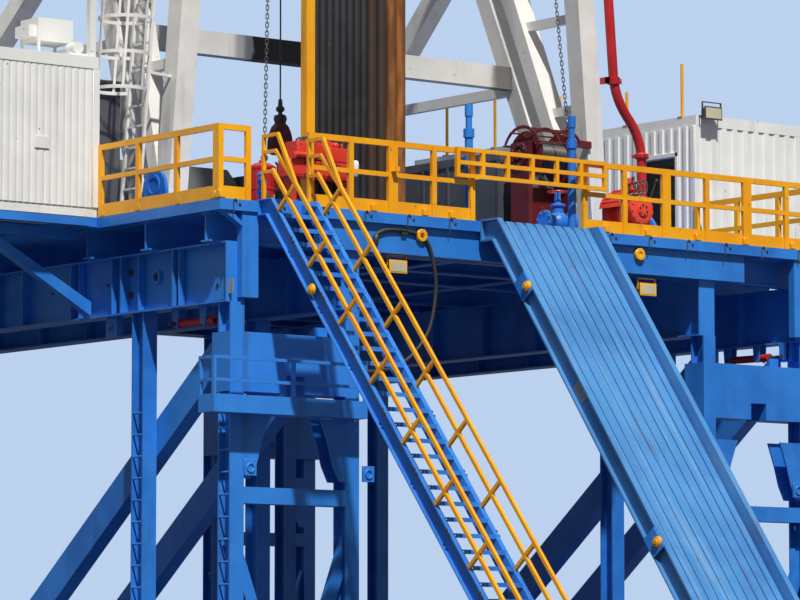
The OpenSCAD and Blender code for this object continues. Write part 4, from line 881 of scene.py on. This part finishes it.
drop_pins = []
for x in (-3050, -2630, -2210, -1790, -1370, -950, 730, 1150, 1570, 1990, 2410, 2830):
    bent = smooth_path([at(x, -5, 4486), at(x + 14, -7, 4500), at(x + 30, -5, 4478)], 4)
    for path in ([at(x, -5, 4486), at(x, -5, 4395)], bent):
        drop_pins.append(carried(circle(0.005, 6), path, up=BACK))
    drop_pins.append(bolt(at(x + 60, -0.5, 4462), FORWARD, 0.009))
piece("drop_pins", drop_pins, "pipe_steel")

# %% [markdown]
# Rail posts stand in short sockets welded on the toe board. Each is a collar round the post, so a
# rail can be lifted out for transport.

# %% Rail sockets
socket_low, socket_high = 4504, 4560
front_posts = (-3152, -2690, -2320, -1690, -1180, -905, 705, 1150, 1700, 2240, 2780, 3152)
sockets = blocks([(x - 29, -3, socket_low, x + 29, 54, socket_high) for x in front_posts])
for setback in (90, 560, 1100, 1600):
    for side in SIDES:
        sockets += blocks([(side * 3140, setback - 29, socket_low, side * 3179, setback + 29, socket_high)])
piece("rail_sockets", sockets, "yellow_paint", bevel=0.003)

# %% [markdown]
# A few more forms help with the machines. A bent pipe is a line of straight runs whose corners are
# rounded by a quadratic curve. A forged part is a round bar whose radius changes along the way.
# Rings, bolt circles and handwheels all lie round an axis, so they share one arc.

# %% Bent and tapered forms
def rounded(points, reach, steps=8):
    """A line whose corners are curves: (1 - t)^2 before + 2 t (1 - t) corner + t^2 after, where
    before and after lie at a given reach from the corner."""
    points = np.asarray(points, float)
    t = np.linspace(0, 1, steps + 1)[:, None]
    path = [points[:1]]
    for before, corner, after in zip(points[:-2], points[1:-1], points[2:]):
        enter = corner + unit(before - corner) * reach
        leave = corner + unit(after - corner) * reach
        path.append((1 - t) ** 2 * enter + 2 * t * (1 - t) * corner + t ** 2 * leave)
    return np.concatenate(path + [points[-1:]])


def tapered(path, radii, up):
    """A round bar: point = path + radius (side cos t + over sin t), with a radius for each point."""
    path = np.asarray(path, float)
    ahead = unit(np.gradient(path, axis=0))
    side = unit(np.cross(ahead, up))[:, None]
    over = np.cross(side[:, 0], ahead)[:, None]
    around = circle(1.0)[None]
    radii = np.asarray(radii, float)[:, None, None]
    return capped(path[:, None] + radii * (side * around[..., :1] + over * around[..., 1:]))


# %% Forms round an axis
def square_to(axis):
    """The axis made one long, and two directions that are square to it and to each other."""
    axis = unit(np.asarray(axis, float))
    a = unit(np.cross(axis, (0.3, 0.5, 0.81)))
    return axis, a, np.cross(axis, a)


def arc(centre, radius, start, end, steps, across, over):
    """Points centre + radius (across cos t + over sin t), for t from start to end in degrees."""
    turn = np.radians(np.linspace(start, end, steps))[:, None]
    way = np.cos(turn) * np.asarray(across, float) + np.sin(turn) * np.asarray(over, float)
    return np.asarray(centre) + radius * way


def whole_circle(centre, radius, steps, a, b):
    """So many points at even angles all round a centre."""
    return arc(centre, radius, 0, 360, steps + 1, a, b)[:-1]


def ring(centre, axis, inner, outer, depth, sides=28):
    """A flat ring round an open hole: a rectangle carried round a circle about the axis."""
    axis, a, b = square_to(axis)
    path = whole_circle(centre, (inner + outer) / 2, sides, a, b)
    return carried(oblong(outer - inner, depth), path, up=axis, loop=True)


def bolt_circle(centre, axis, radius, count, size):
    """Bolts at even angles round an axis."""
    axis, a, b = square_to(axis)
    return copies(bolt(np.zeros(3), axis, size), whole_circle(centre, radius, count, a, b))


def handwheel(centre, axis, radius):
    """A valve's wheel: a rim, a hub and four spokes."""
    wire = 0.007
    axis, a, b = square_to(axis)
    rim = carried(circle(wire, 8), whole_circle(centre, radius, 24, a, b), up=axis, loop=True)
    hub = disc(centre - 0.012 * axis, axis, 0.018, 0.024, 12)
    ends = [[centre - way * radius, centre + way * radius] for way in (a, b)]
    return [rim, hub] + [carried(circle(wire * 0.7, 6), line, up=axis) for line in ends]


# %% [markdown]
# The hoist in front of the left mast leg is a small drum on an arm of the leg. Its rope carries a
# swivel, a flat weight and a forged hook. The solid has the same reach but only plain forms, so
# this piece replaces it.

# %% Hoist arm and rope
hook_x, hook_setback = -1160, 1975
hook_arm = blocks([(-1267, hook_setback - 40, 16150, -1100, hook_setback + 40, 16210),
                   (-1250, hook_setback - 42, 16015, -1172, hook_setback - 32, 16150),
                   (-1250, hook_setback + 32, 16015, -1172, hook_setback + 42, 16150)])
drum_half = [(0.0, 0.030), (0.060, 0.030), (0.060, 0.024), (0.046, 0.022)]
drum_profile = [(radius, -height) for radius, height in drum_half] + drum_half[::-1]
hook_arm.append(turned(drum_profile, at(hook_x - 53, hook_setback, 16050), BACK, 28))
rope_ends = [at(hook_x, hook_setback, 16052), at(hook_x, hook_setback, 5590)]
hook_arm.append(carried(circle(0.007, 8), rope_ends, up=BACK))

swivel = [(0.0, 5.440), (0.018, 5.440), (0.018, 5.548), (0.036, 5.560), (0.036, 5.585), (0.020, 5.600),
          (0.016, 5.655), (0.0, 5.655)]
hook_arm.append(turned(swivel, at(hook_x, hook_setback, 0), UP, 16))
cheek = [(12, 5530), (44, 5520), (52, 5490), (40, 5462), (48, 5440), (30, 5416), (12, 5420)]
for side in SIDES:
    hook_arm.append(plate([at(hook_x + side * x, hook_setback - 24, z) for x, z in cheek], (0, 0.048, 0)))

# %% Hook and weight
hook_turn = np.radians(np.linspace(100, -150, 22))
hook_line = np.stack([np.cos(hook_turn) * 0.056, 0 * hook_turn, np.sin(hook_turn) * 0.056], axis=1)
hook_line = np.concatenate([[(-0.010, 0, 0.075)], hook_line]) + at(hook_x, hook_setback, 5158)
hook_radii = np.interp(np.linspace(0, 1, 22), [0, 0.45, 0.8, 1], [0.019, 0.016, 0.014, 0.006])
hook_arm.append(tapered(hook_line, np.concatenate([[0.020], hook_radii]), up=BACK))
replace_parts(piece("hoist_arm_and_rope", hook_arm, "pipe_steel", bevel=0.001), "line_hook")

weight_half = [(38, 5446), (62, 5425), (88, 5370), (104, 5300), (106, 5240), (94, 5205), (60, 5190)]
weight_outline = weight_half + [(-x, z) for x, z in weight_half[::-1]]
weight = [plate([at(hook_x + x, hook_setback - 40, z) for x, z in weight_outline], (0, 0.080, 0))]
for shift in (-41, 41):
    weight.append(bolt_circle(at(hook_x, hook_setback + shift, 5300), (0, shift, 0), 0.060, 6, 0.008))
piece("hoist_weight", weight, "dark_red_paint", bevel=0.006)

# %% [markdown]
# The winch's drum turns with its rope, which lies on the barrel as one long helix, and with the
# dished discs on its flanges. So these pieces ride on the drum's body. The bearing rings and the
# guard stay with the frame, and keep clear of everything that turns.

# %% Winch drum
winch = at(1210, 1425, 5305)
rope_turns = 20
rope_turn = np.linspace(0, rope_turns * 2 * math.pi, rope_turns * 18)
rope_coil = winch + np.stack([(rope_turn / rope_turn[-1] - 0.5) * 0.340, 0.1235 * np.cos(rope_turn),
                              0.1235 * np.sin(rope_turn)], axis=1)
piece("winch_rope", [carried(circle(0.008, 6), rope_coil, up=ACROSS)], "pipe_steel", body="drum")

dish = [(0.0, -0.001), (0.206, -0.001), (0.206, 0.009), (0.186, 0.011), (0.150, 0.011), (0.140, 0.003),
        (0.085, 0.003), (0.075, 0.010), (0.0, 0.010)]
dishes, guard = [], []
for side in SIDES:
    out = (side, 0, 0)
    dishes += [turned(dish, winch + (side * 0.190, 0, 0), out, 48),
               bolt_circle(winch + (side * 0.201, 0, 0), out, 0.168, 12, 0.008)]
    guard += [ring(winch + (side * 0.264, 0, 0), out, 0.066, 0.104, 0.018),
              bolt_circle(winch + (side * 0.273, 0, 0), out, 0.085, 6, 0.008)]
piece("winch_flanges", dishes, "dark_red_paint", body="drum")

# %% Winch guard
guard_radius = 0.242
for x in (-0.235, 0.0, 0.235):
    hoop = arc(winch + (x, 0, 0), guard_radius, 24, 156, 19, BACK, UP)
    guard.append(carried(oblong(0.030, 0.006), hoop, up=ACROSS))
for spot in arc(winch, guard_radius, 24, 156, 5, BACK, UP):
    guard.append(carried(oblong(0.024, 0.012), [spot - (0.250, 0, 0), spot + (0.250, 0, 0)]))
for x in (975, 1445):
    guard += blocks([(-14, 1315, 5380, 14, 1335, 5412), (-8, 1217, 4550, 8, 1325, 4700),
                     (-14, 1515, 5380, 14, 1535, 5412), (-8, 1525, 4550, 8, 1613, 4700)], x)
piece("winch_guard", guard, "dark_red_paint", bevel=0.002)

# %% [markdown]
# The line winch and the iron roughneck are two bright machines. They get a hood with cooling ribs,
# bolted covers, hydraulic cylinders and hard lines that end in fittings. A cylinder is one turned
# profile for the barrel and one for the rod, so the rod can have another finish.

# %% Hydraulic parts
def cylinder_with_rod(start, end, radius, share=0.62):
    """A hydraulic cylinder with end glands, and the thinner rod that comes out of it."""
    length = np.linalg.norm(end - start)
    body = length * share
    gland = radius * 1.15
    barrel = [(0.0, 0.0), (radius * 0.8, 0.0), (radius * 0.8, 0.012), (gland, 0.014), (gland, 0.034),
              (radius, 0.036), (radius, body - 0.036), (gland, body - 0.034), (gland, body), (0.0, body)]
    rod = [(0.0, body - 0.002), (radius * 0.5, body - 0.002), (radius * 0.5, length), (0.0, length)]
    return turned(barrel, start, end - start, 20), turned(rod, start, end - start, 14)


def hard_line(points, radius=0.008, reach=0.04):
    """A bent pipe with a fitting at each end."""
    path = rounded(points, reach, 5)
    aside = (0.31, 0.62, 0.72)
    first = [path[0], path[0] + unit(path[1] - path[0]) * 0.03]
    last = [path[-1] - unit(path[-1] - path[-2]) * 0.03, path[-1]]
    return [carried(circle(radius, 8), path, up=aside), carried(circle(radius * 1.9, 6), first, up=aside),
            carried(circle(radius * 1.9, 6), last, up=aside)]


# %% Line winch
line_winch = at(1560, 760, 4800)
hood = np.concatenate([arc((0, 0, 0), 0.183, 8, 172, 21, ACROSS, UP),
                       arc((0, 0, 0), 0.178, 172, 8, 21, ACROSS, UP)])
machine_skin = [plate(hood + line_winch + (0, -0.135, 0), (0, 0.270, 0))]
for spot in arc(line_winch, 0.185, 24, 156, 13, ACROSS, UP):
    line = [spot + (0, -0.110, 0), spot + (0, 0.110, 0)]
    machine_skin.append(carried(oblong(0.010, 0.008), line, up=spot - line_winch))
cover = [(0.0, 0.0), (0.124, 0.0), (0.124, 0.012), (0.108, 0.018), (0.060, 0.018), (0.0, 0.018)]
machine_skin.append(turned(cover, line_winch + (0, -0.199, 0), FORWARD, 32))
machine_skin += blocks([(1412, 618, 4560, 1440, 630, 4790), (1680, 618, 4560, 1708, 630, 4790)])
machine_bolts = [bolt_circle(line_winch + (0, -0.211, 0), FORWARD, 0.112, 12, 0.007),
                 bolt_circle(line_winch + (0, -0.230, 0), FORWARD, 0.040, 6, 0.007)]
machine_bolts += bolts(spots((1385, 1735), (600, 920), (4550,)), UP, 0.012)

# %% Iron roughneck
roughneck_x = -1190
machine_skin += blocks([(-1400, 1372, 5030, -1250, 1376, 5130), (-1220, 1372, 5030, -1010, 1376, 5130),
                        (-1460, 1381, 4855, -1280, 1386, 4975), (-1110, 1381, 4855, -920, 1386, 4975),
                        (-1440, 1405, 4990, -1400, 1645, 5060), (-985, 1405, 4990, -945, 1645, 5060),
                        (-1470, 1345, 4985, -1452, 1386, 5015), (-928, 1345, 4985, -910, 1386, 5015),
                        (-1250, 1345, 4985, -1232, 1376, 5035), (-1148, 1345, 4985, -1130, 1376, 5035)])
for z in (4905, 5075):
    jaw = arc(at(roughneck_x, 1330, z), 0.085, -10, -170, 15, ACROSS, FORWARD)
    machine_skin.append(carried(oblong(0.030, 0.050), jaw))
    jaw_ends = [(side * 70, 1325, z - 25, side * 105, 1386, z + 25) for side in SIDES]
    machine_skin += blocks(jaw_ends, roughneck_x)
machine_bolts += bolts(spots((-1450, -1290, -1100, -930), (1381,), (4865, 4965)), FORWARD, 0.007)
machine_bolts += bolts(spots((-1390, -1262, -1210, -1020), (1372,), (5040, 5120)), FORWARD, 0.006)
for start, end, radius in (((-1460, 1350, 5000), (-1240, 1350, 5000), 0.022),
                           ((-925, 1350, 5000), (-1140, 1350, 5000), 0.022),
                           ((-1350, 1420, 4575), (-1350, 1420, 4838), 0.026),
                           ((-1030, 1420, 4575), (-1030, 1420, 4838), 0.026)):
    barrel, rod = cylinder_with_rod(at(*start), at(*end), radius)
    machine_skin.append(barrel)
    machine_bolts.append(rod)
piece("machine_hoods", machine_skin, "orange_red_paint", bevel=0.002)

# %% Lines and levers of both machines
lines = []
for k in range(4):
    x, out = 1490 + k * 38, 560 - k * 6
    lines += hard_line([at(x, 690, 4975), at(x, 690, 5020 + k * 10), at(x, out, 5020 + k * 10),
                        at(x + 10, out, 4945), at(1420 + k * 6, 600, 4900)])
for k in range(3):
    x, high, turn_x = -1150 + k * 60, 5215 + k * 14, -885 + k * 14
    lines += hard_line([at(x, 1480, 5145), at(x, 1480, high), at(turn_x, 1470, high),
                        at(turn_x, 1470, 4900), at(-905, 1470 + k * 20, 4900)])
knob = [(0.0, -0.016), (0.012, -0.012), (0.016, 0.0), (0.012, 0.012), (0.0, 0.016)]
for x in (1440, 1700):
    lines += [carried(circle(0.006, 6), [at(x, 640, 4860), at(x + 30, 560, 5060)]),
              turned(knob, at(x + 30, 560, 5062), UP, 10)]
piece("machine_lines", lines + machine_bolts, "pipe_steel")

# %% [markdown]
# Smaller things stand about the floor: a red tank, a blue capstan with its rings, a blue valve
# body with a wheel, and pad eyes. Each stands on the deck or is welded to it. The round ones are
# profiles turned about an axis, written as pairs of radius and height in metres.

# %% Red tank
tank_foot = at(-1672, 1525, 0)
tank = [(0.0, 4.5), (0.104, 4.5), (0.108, 4.512), (0.108, 4.98), (0.113, 4.984), (0.113, 5.004),
        (0.104, 5.012), (0.060, 5.034), (0.026, 5.040), (0.026, 5.058), (0.0, 5.058)]
bands = [ring(tank_foot + (0, 0, z), UP, 0.104, 0.113, 0.014, 32) for z in (4.64, 4.82)]
piece("red_tank", [turned(tank, tank_foot, UP, 32)] + bands, "red_paint")

# %% Capstan, valve and pad eyes
capstan = [(0.0, 4.4995), (0.052, 4.4995), (0.052, 4.512), (0.030, 4.520), (0.028, 4.575), (0.044, 4.585),
           (0.044, 4.604), (0.027, 4.614), (0.027, 4.650), (0.042, 4.660), (0.042, 4.680), (0.026, 4.690),
           (0.026, 4.716), (0.034, 4.724), (0.030, 4.748), (0.0, 4.752)]
valve_half = [(0.0, 0.15), (0.095, 0.15), (0.095, 0.125), (0.060, 0.118), (0.066, 0.06), (0.090, 0.03)]
valve_body = [(radius, -length) for radius, length in valve_half] + valve_half[::-1]
bonnet = [(0.0, 4.70), (0.05, 4.70), (0.05, 4.78), (0.066, 4.784), (0.066, 4.80), (0.03, 4.81), (0.024, 4.90),
          (0.0, 4.90)]
blue_things = [turned(capstan, at(-2677, 150, 0), UP, 24), turned(valve_body, at(760, 700, 4650), ACROSS, 28),
               turned(bonnet, at(760, 700, 0), UP, 20)]
blue_things.append(bolt_circle(at(607, 700, 4650), (-1, 0, 0), 0.078, 8, 0.007))
blue_things += blocks([(x, 630, deck, x + 16, 770, 4600) for x in (672, 832)])
eye = [(1490, 4500), (1880, 4500), (1870, 4740), (1845, 4840), (1790, 4905), (1700, 4930), (1610, 4905),
       (1555, 4840), (1530, 4740)]
for x in (-2600, 2600):
    blue_things.append(plate([at(x - 14, setback, z) for setback, z in eye], (0.028, 0, 0)))
    blue_things.append(ring(at(x, 1700, 4800), ACROSS, 0.060, 0.088, 0.044, 28))
    blue_things += blocks([(-70, setback, deck, 70, setback + 14, 4640) for setback in (1560, 1830)], x)
piece("blue_floor_parts", blue_things, "blue_paint", bevel=0.001)
piece("valve_wheel", handwheel(at(760, 700, 4905), UP, 0.085), "red_paint")

# %% [markdown]
# The red mud pipe climbs the right mast leg. It is a bent pipe, so its corners are round, and it is
# held by clamps on arms of the leg. A hammer union joins it low down: a ring nut with three lugs.
# The solid's corners are sharp, so this piece stands in its place and keeps its line.

# %% Standpipe
pipe_foot = at(2653.6, 1797.5, deck)
pipe_bend = pipe_foot + (0, 0, 1.110)
pipe_shoulder = at(2343.6, 1797.5, 5970)
pipe_length = 9.5
leaning = unit(np.array([-mast_lean, 0, 1.0]))
pipe_route = [pipe_foot, pipe_bend, pipe_shoulder, pipe_shoulder + leaning * pipe_length]
foot_flange = [(0.0, 0.0), (0.085, 0.0), (0.085, 0.030), (0.052, 0.034), (0.048, 0.06), (0.0, 0.06)]
ring_nut = [(0.043, 0.0), (0.056, 0.004), (0.064, 0.012), (0.064, 0.044), (0.054, 0.052), (0.043, 0.056)]
clamp = [(0.0430, 0.0), (0.057, 0.0), (0.057, 0.06), (0.0430, 0.06)]
standpipe = [carried(circle(0.0425, 24), rounded(pipe_route, 0.20, 10), up=BACK),
             turned(foot_flange, pipe_foot, UP, 28),
             bolt_circle(pipe_foot + (0, 0, 0.030), UP, 0.070, 8, 0.008),
             turned(ring_nut, pipe_foot + (0, 0, 0.940), UP, 24)]
for spot in arc(pipe_foot + (0, 0, 0.968), 0.074, 20, 260, 3, ACROSS, BACK):
    standpipe.append(disc(spot - (0, 0, 0.014), UP, 0.013, 0.028, 8))
for reach in (0.110, pipe_length / 3, pipe_length * 2 / 3, 9.200):
    spot = pipe_shoulder + leaning * reach
    standpipe.append(turned(clamp, spot, leaning, 24))
    for low, high in (((-0.089, -0.015, 0.002), (-0.045, 0.015, 0.058)),
                      ((-0.089, -0.015, 0.002), (-0.059, 0.0845, 0.058)),
                      ((0.050, -0.014, 0.008), (0.080, 0.014, 0.052))):
        standpipe.append(block(spot + low, spot + high))
    standpipe.append(bolt(spot + (0.068, -0.014, 0.030), FORWARD, 0.008))
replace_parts(piece("standpipe_run", standpipe, "red_paint", bevel=0.001), "standpipe")

# %% [markdown]
# In front of the standing pipes is a tong: a bright box on two legs with a jaw, two cylinders and
# bolted panels, and a white flask at its right end. All of it is first drawn at full size about
# its middle line and then drawn in as a whole, which keeps its parts together.

# %% Tong body
tong_x = -1875
tong_foot = at(tong_x, 0, deck) * (1, 0, 1)


def fitted(forms):
    """Forms drawn in about the tong's foot, to 0.82 of their width and 0.88 of their height."""
    return [((points - tong_foot) * (0.82, 1, 0.88) + tong_foot, faces) for points, faces in forms]


tong = blocks([(-373, 450, 4835, 372, 615, 4985), (-303, 440, 4995, 67, 600, 5150),
               (107, 455, 4995, 327, 590, 5120), (-333, 470, 4980, 337, 585, 5000),
               (-378, 430, 4500, 377, 620, 4530), (-323, 490, 4520, -263, 580, 4840),
               (297, 490, 4520, 357, 580, 4840), (-363, 405, 4985, -345, 451, 5040),
               (-85, 405, 5005, -67, 441, 5040), (147, 500, 5118, 165, 540, 5170),
               (285, 500, 5118, 303, 540, 5170), (67, 470, 5100, 127, 560, 5180)], tong_x)
tong += blocks([(x, 435, 5015, x + 150, 441, 5130) for x in (-278, -108)], tong_x)
tong += blocks([(x, 446, 4850, x + 165, 451, 4970) for x in (-358, -173, 17, 197)], tong_x)
for z in (4870, 4950):
    jaw = arc(at(tong_x, 415, z), 0.080, -10, -170, 13, ACROSS, FORWARD)
    tong.append(carried(oblong(0.030, 0.040), jaw))
    tong += blocks([(side * 62, 405, z - 20, side * 98, 451, z + 20) for side in SIDES], tong_x)

# %% Tong fittings
left_ends = [at(tong_x + x, 420, 5020) for x in (-353, -73)]
right_ends = [at(tong_x + x, 520, 5150) for x in (157, 297)]
left_barrel, left_rod = cylinder_with_rod(*left_ends, 0.024)
right_barrel, right_rod = cylinder_with_rod(*right_ends, 0.024)
lower_bolts = tong_x + np.array([-351, -203, -163, -23, 27, 177, 207, 337])
upper_bolts = tong_x + np.array([-268, -138, -98, 32])
tong_steel = [left_rod, right_rod] + bolts(spots(lower_bolts, (446,), (4858, 4962)), FORWARD, 0.007)
tong_steel += bolts(spots(upper_bolts, (435,), (5023, 5122)), FORWARD, 0.006)
for k in range(3):
    rise, fall, high = tong_x - 233 + k * 40, tong_x + 87 + k * 12, 5190 + k * 8
    route = [at(rise, 520, 5148), at(rise, 520, high), at(fall, 520, high), at(fall, 520, 5178)]
    tong_steel += hard_line(route, 0.007, 0.03)
flask = [(0.0, 4.880), (0.020, 4.880), (0.032, 4.900), (0.034, 4.985), (0.030, 5.010), (0.018, 5.024),
         (0.0, 5.024)]
flask_parts = [turned(flask, at(tong_x + 422, 470, 0), UP, 20)]
flask_parts += blocks([(369, 460, 4930, 405, 480, 4950)], tong_x)
piece("tong", fitted(tong + [left_barrel, right_barrel]), "orange_red_paint", bevel=0.003)
piece("tong_lines", fitted(tong_steel), "pipe_steel")
piece("tong_flask", fitted(flask_parts), "pale_paint")

# %% [markdown]
# The girders under the floor are bored and braced for jacking the rig up. Their webs have ring
# holes and small drilled holes, and a red jack lies under the front end of each between brackets.
# A drilled hole in a dark web is seen only as a dark round, so a thin dark disc paints the shade inside each
# hole.

# %% Girder fittings
web_x = 2975
holes = ((863, 3985, 0.018), (310, 3867, 0.020), (1811, 3984, 0.016), (1480, 4060, 0.030),
         (1480, 3880, 0.030), (2600, 3985, 0.018), (4100, 3985, 0.018), (6193, 3995, 0.036))
stiffeners = (740, 1290, 1660, 2130, 3350, 4550, 5750)
hanger = ((-45, 3726), (45, 3726), (34, 3600), (-20, 3575), (-34, 3600))
gusset = ((120, 3745), (290, 3745), (131, 3952), (120, 3952))


def girder_side(side):
    """The plates, the pins, the dark rounds that paint the shade inside the holes, and the jack on one
    girder.
    """
    out = (side, 0, 0)
    blue = [ring(at(side * (web_x + 14), 1107, 3995), out, 0.036, 0.056, 0.028, 28)]
    # thin dark discs paint the shade inside the ring hole and the drilled holes
    dark = [disc(at(side * web_x, 1107, 3995), out, 0.037, 0.004, 24)]
    dark += [disc(at(side * web_x, setback, z), out, radius, 0.003) for setback, z, radius in holes]
    face, edge = side * web_x, side * (web_x + 62)
    blue += blocks([(face, setback, 3741, edge, setback + 10, 4174) for setback in stiffeners])
    blue.append(plate([at(side * web_x, setback, z) for setback, z in gusset], (side * 0.055, 0, 0)))
    for middle in (235, 560, 930):
        outline = np.array([at(side * 2925, middle + setback, z) for setback, z in hanger])
        for shift in (0, -0.070):
            blue.append(plate(outline + (side * shift, 0, 0), (side * 0.012, 0, 0)))
    barrel, rod = cylinder_with_rod(at(side * 2896, 950, 3622), at(side * 2896, 235, 3612), 0.032, 0.72)
    for setback in (235, 930):
        ends = [at(side * x, setback, 3616) for x in (2990, 2845)]
        dark.append(carried(circle(0.016, 10), ends))
    for setback in (1702, 168):
        blue += blocks([(side * 2960, setback, 3572, side * 2900, setback + 155, 3726)])
        blue.append(ring(at(side * 2963, setback + 78, 3640), out, 0.020, 0.034, 0.012, 20))
        # a thin dark disc paints the shade inside the ring
        dark.append(disc(at(side * 2960, setback + 78, 3640), out, 0.022, 0.002, 16))
    return blue, dark + [rod], [barrel]


both_sides = zip(girder_side(LEFT), girder_side(RIGHT))
girder_plates, girder_pins_and_hole_shade, jacks = (left + right for left, right in both_sides)
piece("girder_plates", girder_plates, "blue_paint", bevel=0.002)
piece("girder_pins_and_hole_shade", girder_pins_and_hole_shade, "pipe_steel")
piece("jacks", jacks, "red_paint")
girder_signs = blocks([(side * 3031, 30, 3785, side * 3026, 118, 3895) for side in SIDES])
piece("girder_plates_bare", girder_signs, "grey_paint", look=bare_plate)

# %% [markdown]
# A rig comes apart for transport. Its towers have lifting lugs, and its mast legs are bolted
# together through splice plates. The plates stand at even heights and lean with the leg, so their
# line is the leg's own: half the mast's width at a height, less its lean for each step up.

# %% Lifting lugs
lugs = []
for side in SIDES:
    for x, z in ((side * 2849, 2467), (side * 1720, 2453)):
        outline = [at(x + u, 60, z + v) for u, v in ((-56, -62), (56, -62), (56, 62), (-56, 62))]
        lugs += [plate(outline, (0, -0.018, 0)), ring(at(x, 38, z), BACK, 0.024, 0.040, 0.012, 20)]
piece("lifting_lugs", lugs, "blue_paint", bevel=0.002)

# %% Mast splices
mast_foot_half, mast_foot_height = 2260, 4650
leg_half = 0.0925
bolt_steps = (-0.12, -0.06, 0.06, 0.12)
splices, splice_bolts = [], []
for side in SIDES:
    lean = unit(np.array([-side * mast_lean, 0, 1.0]))
    for leg_setback, ahead in ((1975, -1), (3175, 1)):
        for z in (7300, 10300, 13300, 16300, 19300, 22300):
            middle = at(side * (mast_foot_half - (z - mast_foot_height) * mast_lean), leg_setback, z)
            front = middle + (0, ahead * leg_half, 0)
            outer = middle + (side * (leg_half + 0.001), 0, 0)
            for spot, plan in ((front, oblong(0.150, 0.024)), (outer, oblong(0.024, 0.150))):
                splices.append(carried(plan, [spot - lean * 0.16, spot + lean * 0.16], up=BACK))
            for step in bolt_steps:
                for aside in (-0.048, 0.048):
                    on_front = front + lean * step + (aside, ahead * 0.012, 0)
                    on_outer = outer + lean * step + (side * 0.012, aside, 0)
                    splice_bolts.append(bolt(on_front, (0, ahead, 0), 0.010))
                    splice_bolts.append(bolt(on_outer, (side, 0, 0), 0.010))
piece("mast_splices", splices, "mast_paint", bevel=0.002)
piece("mast_bolts", splice_bolts, "mast_paint")

# %% Ends of the chains
bracket = blocks([(1815, 1805, 5560, 1885, 1895, 5590), (1842, 1815, 5480, 1858, 1885, 5570)])
bracket.append(carried(oblong(0.060, 0.060), [at(1858, 1850, 5530), at(2120, 1880, 5530)]))
bracket.append(ring(at(1850, 1850, 5618), (0.7, 0.7, 0), 0.018, 0.034, 0.014, 16))
piece("chain_bracket", bracket, "dark_red_paint", bevel=0.002)
piece("chain_eye", [ring(at(-1650, 1525, 5080), (0.7, 0.7, 0), 0.016, 0.030, 0.014, 16)], "pipe_steel")

# %% [markdown]
# The houses get window panes in frames, a door handle, posts for a guard rail on the roof, a lamp
# over the deck, and a bare plate where a sign would be. Posts and lamp stand on the roof's edge.

# %% Fittings of the houses
inner_face, roof_top = 3175, 5869
panes, bars, posts = [], [], []
for side in SIDES:
    panes += blocks([(side * (inner_face + 12), 4180, 5005, side * (inner_face + 18), 4970, 5515)])
    near, far = side * (inner_face - 2), side * (inner_face - 14)
    bars += blocks([(near, 4175, 5255, far, 4975, 5275), (near, 4565, 5000, far, 4585, 5520)])
    wall, out = side * inner_face, side * (inner_face - 40)
    grip = [at(wall, 2330, 5000), at(out, 2330, 5000), at(out, 2330, 5120), at(wall, 2330, 5120)]
    bars.append(carried(circle(0.008, 8), rounded(grip, 0.015, 4), up=BACK))
for setback, top in ((5221, 6327), (4498, 6322), (3550, 6250), (2613, 6181), (1867, 6347)):
    posts.append(carried(circle(0.014, 10), [at(3200, setback, roof_top), at(3200, setback, top)], up=BACK))
    posts += blocks([(3170, setback - 30, roof_top, 3230, setback + 30, roof_top + 9)])
piece("window_panes", panes, "grey_paint", look=dark_glass)
piece("window_bars", bars, "pale_paint")
piece("roof_posts", posts, "yellow_paint")

lamp_metal, glass = floodlight((3290, 1560, 5880), 200, 110, 90)
lamp_metal += blocks([(3275, 1560, 5925, 3305, 1680, 5937)])
piece("roof_lamp", lamp_metal, "grey_paint", bevel=0.002)
piece("roof_lamp_glass", glass, "pale_paint", look=lamp_glass)
piece("sign_plate", blocks([(-3768, 1655, 5010, -3637, 1664, 5102)]), "pale_paint")

# %% [markdown]
# Last, the reach of the dressed rig is printed, because what is added should stay within the
# bare solids.

# %% Closing
low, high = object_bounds()
print("dressed rig reaches from", tuple(round(v, 3) for v in low), "to", tuple(round(v, 3) for v in high))
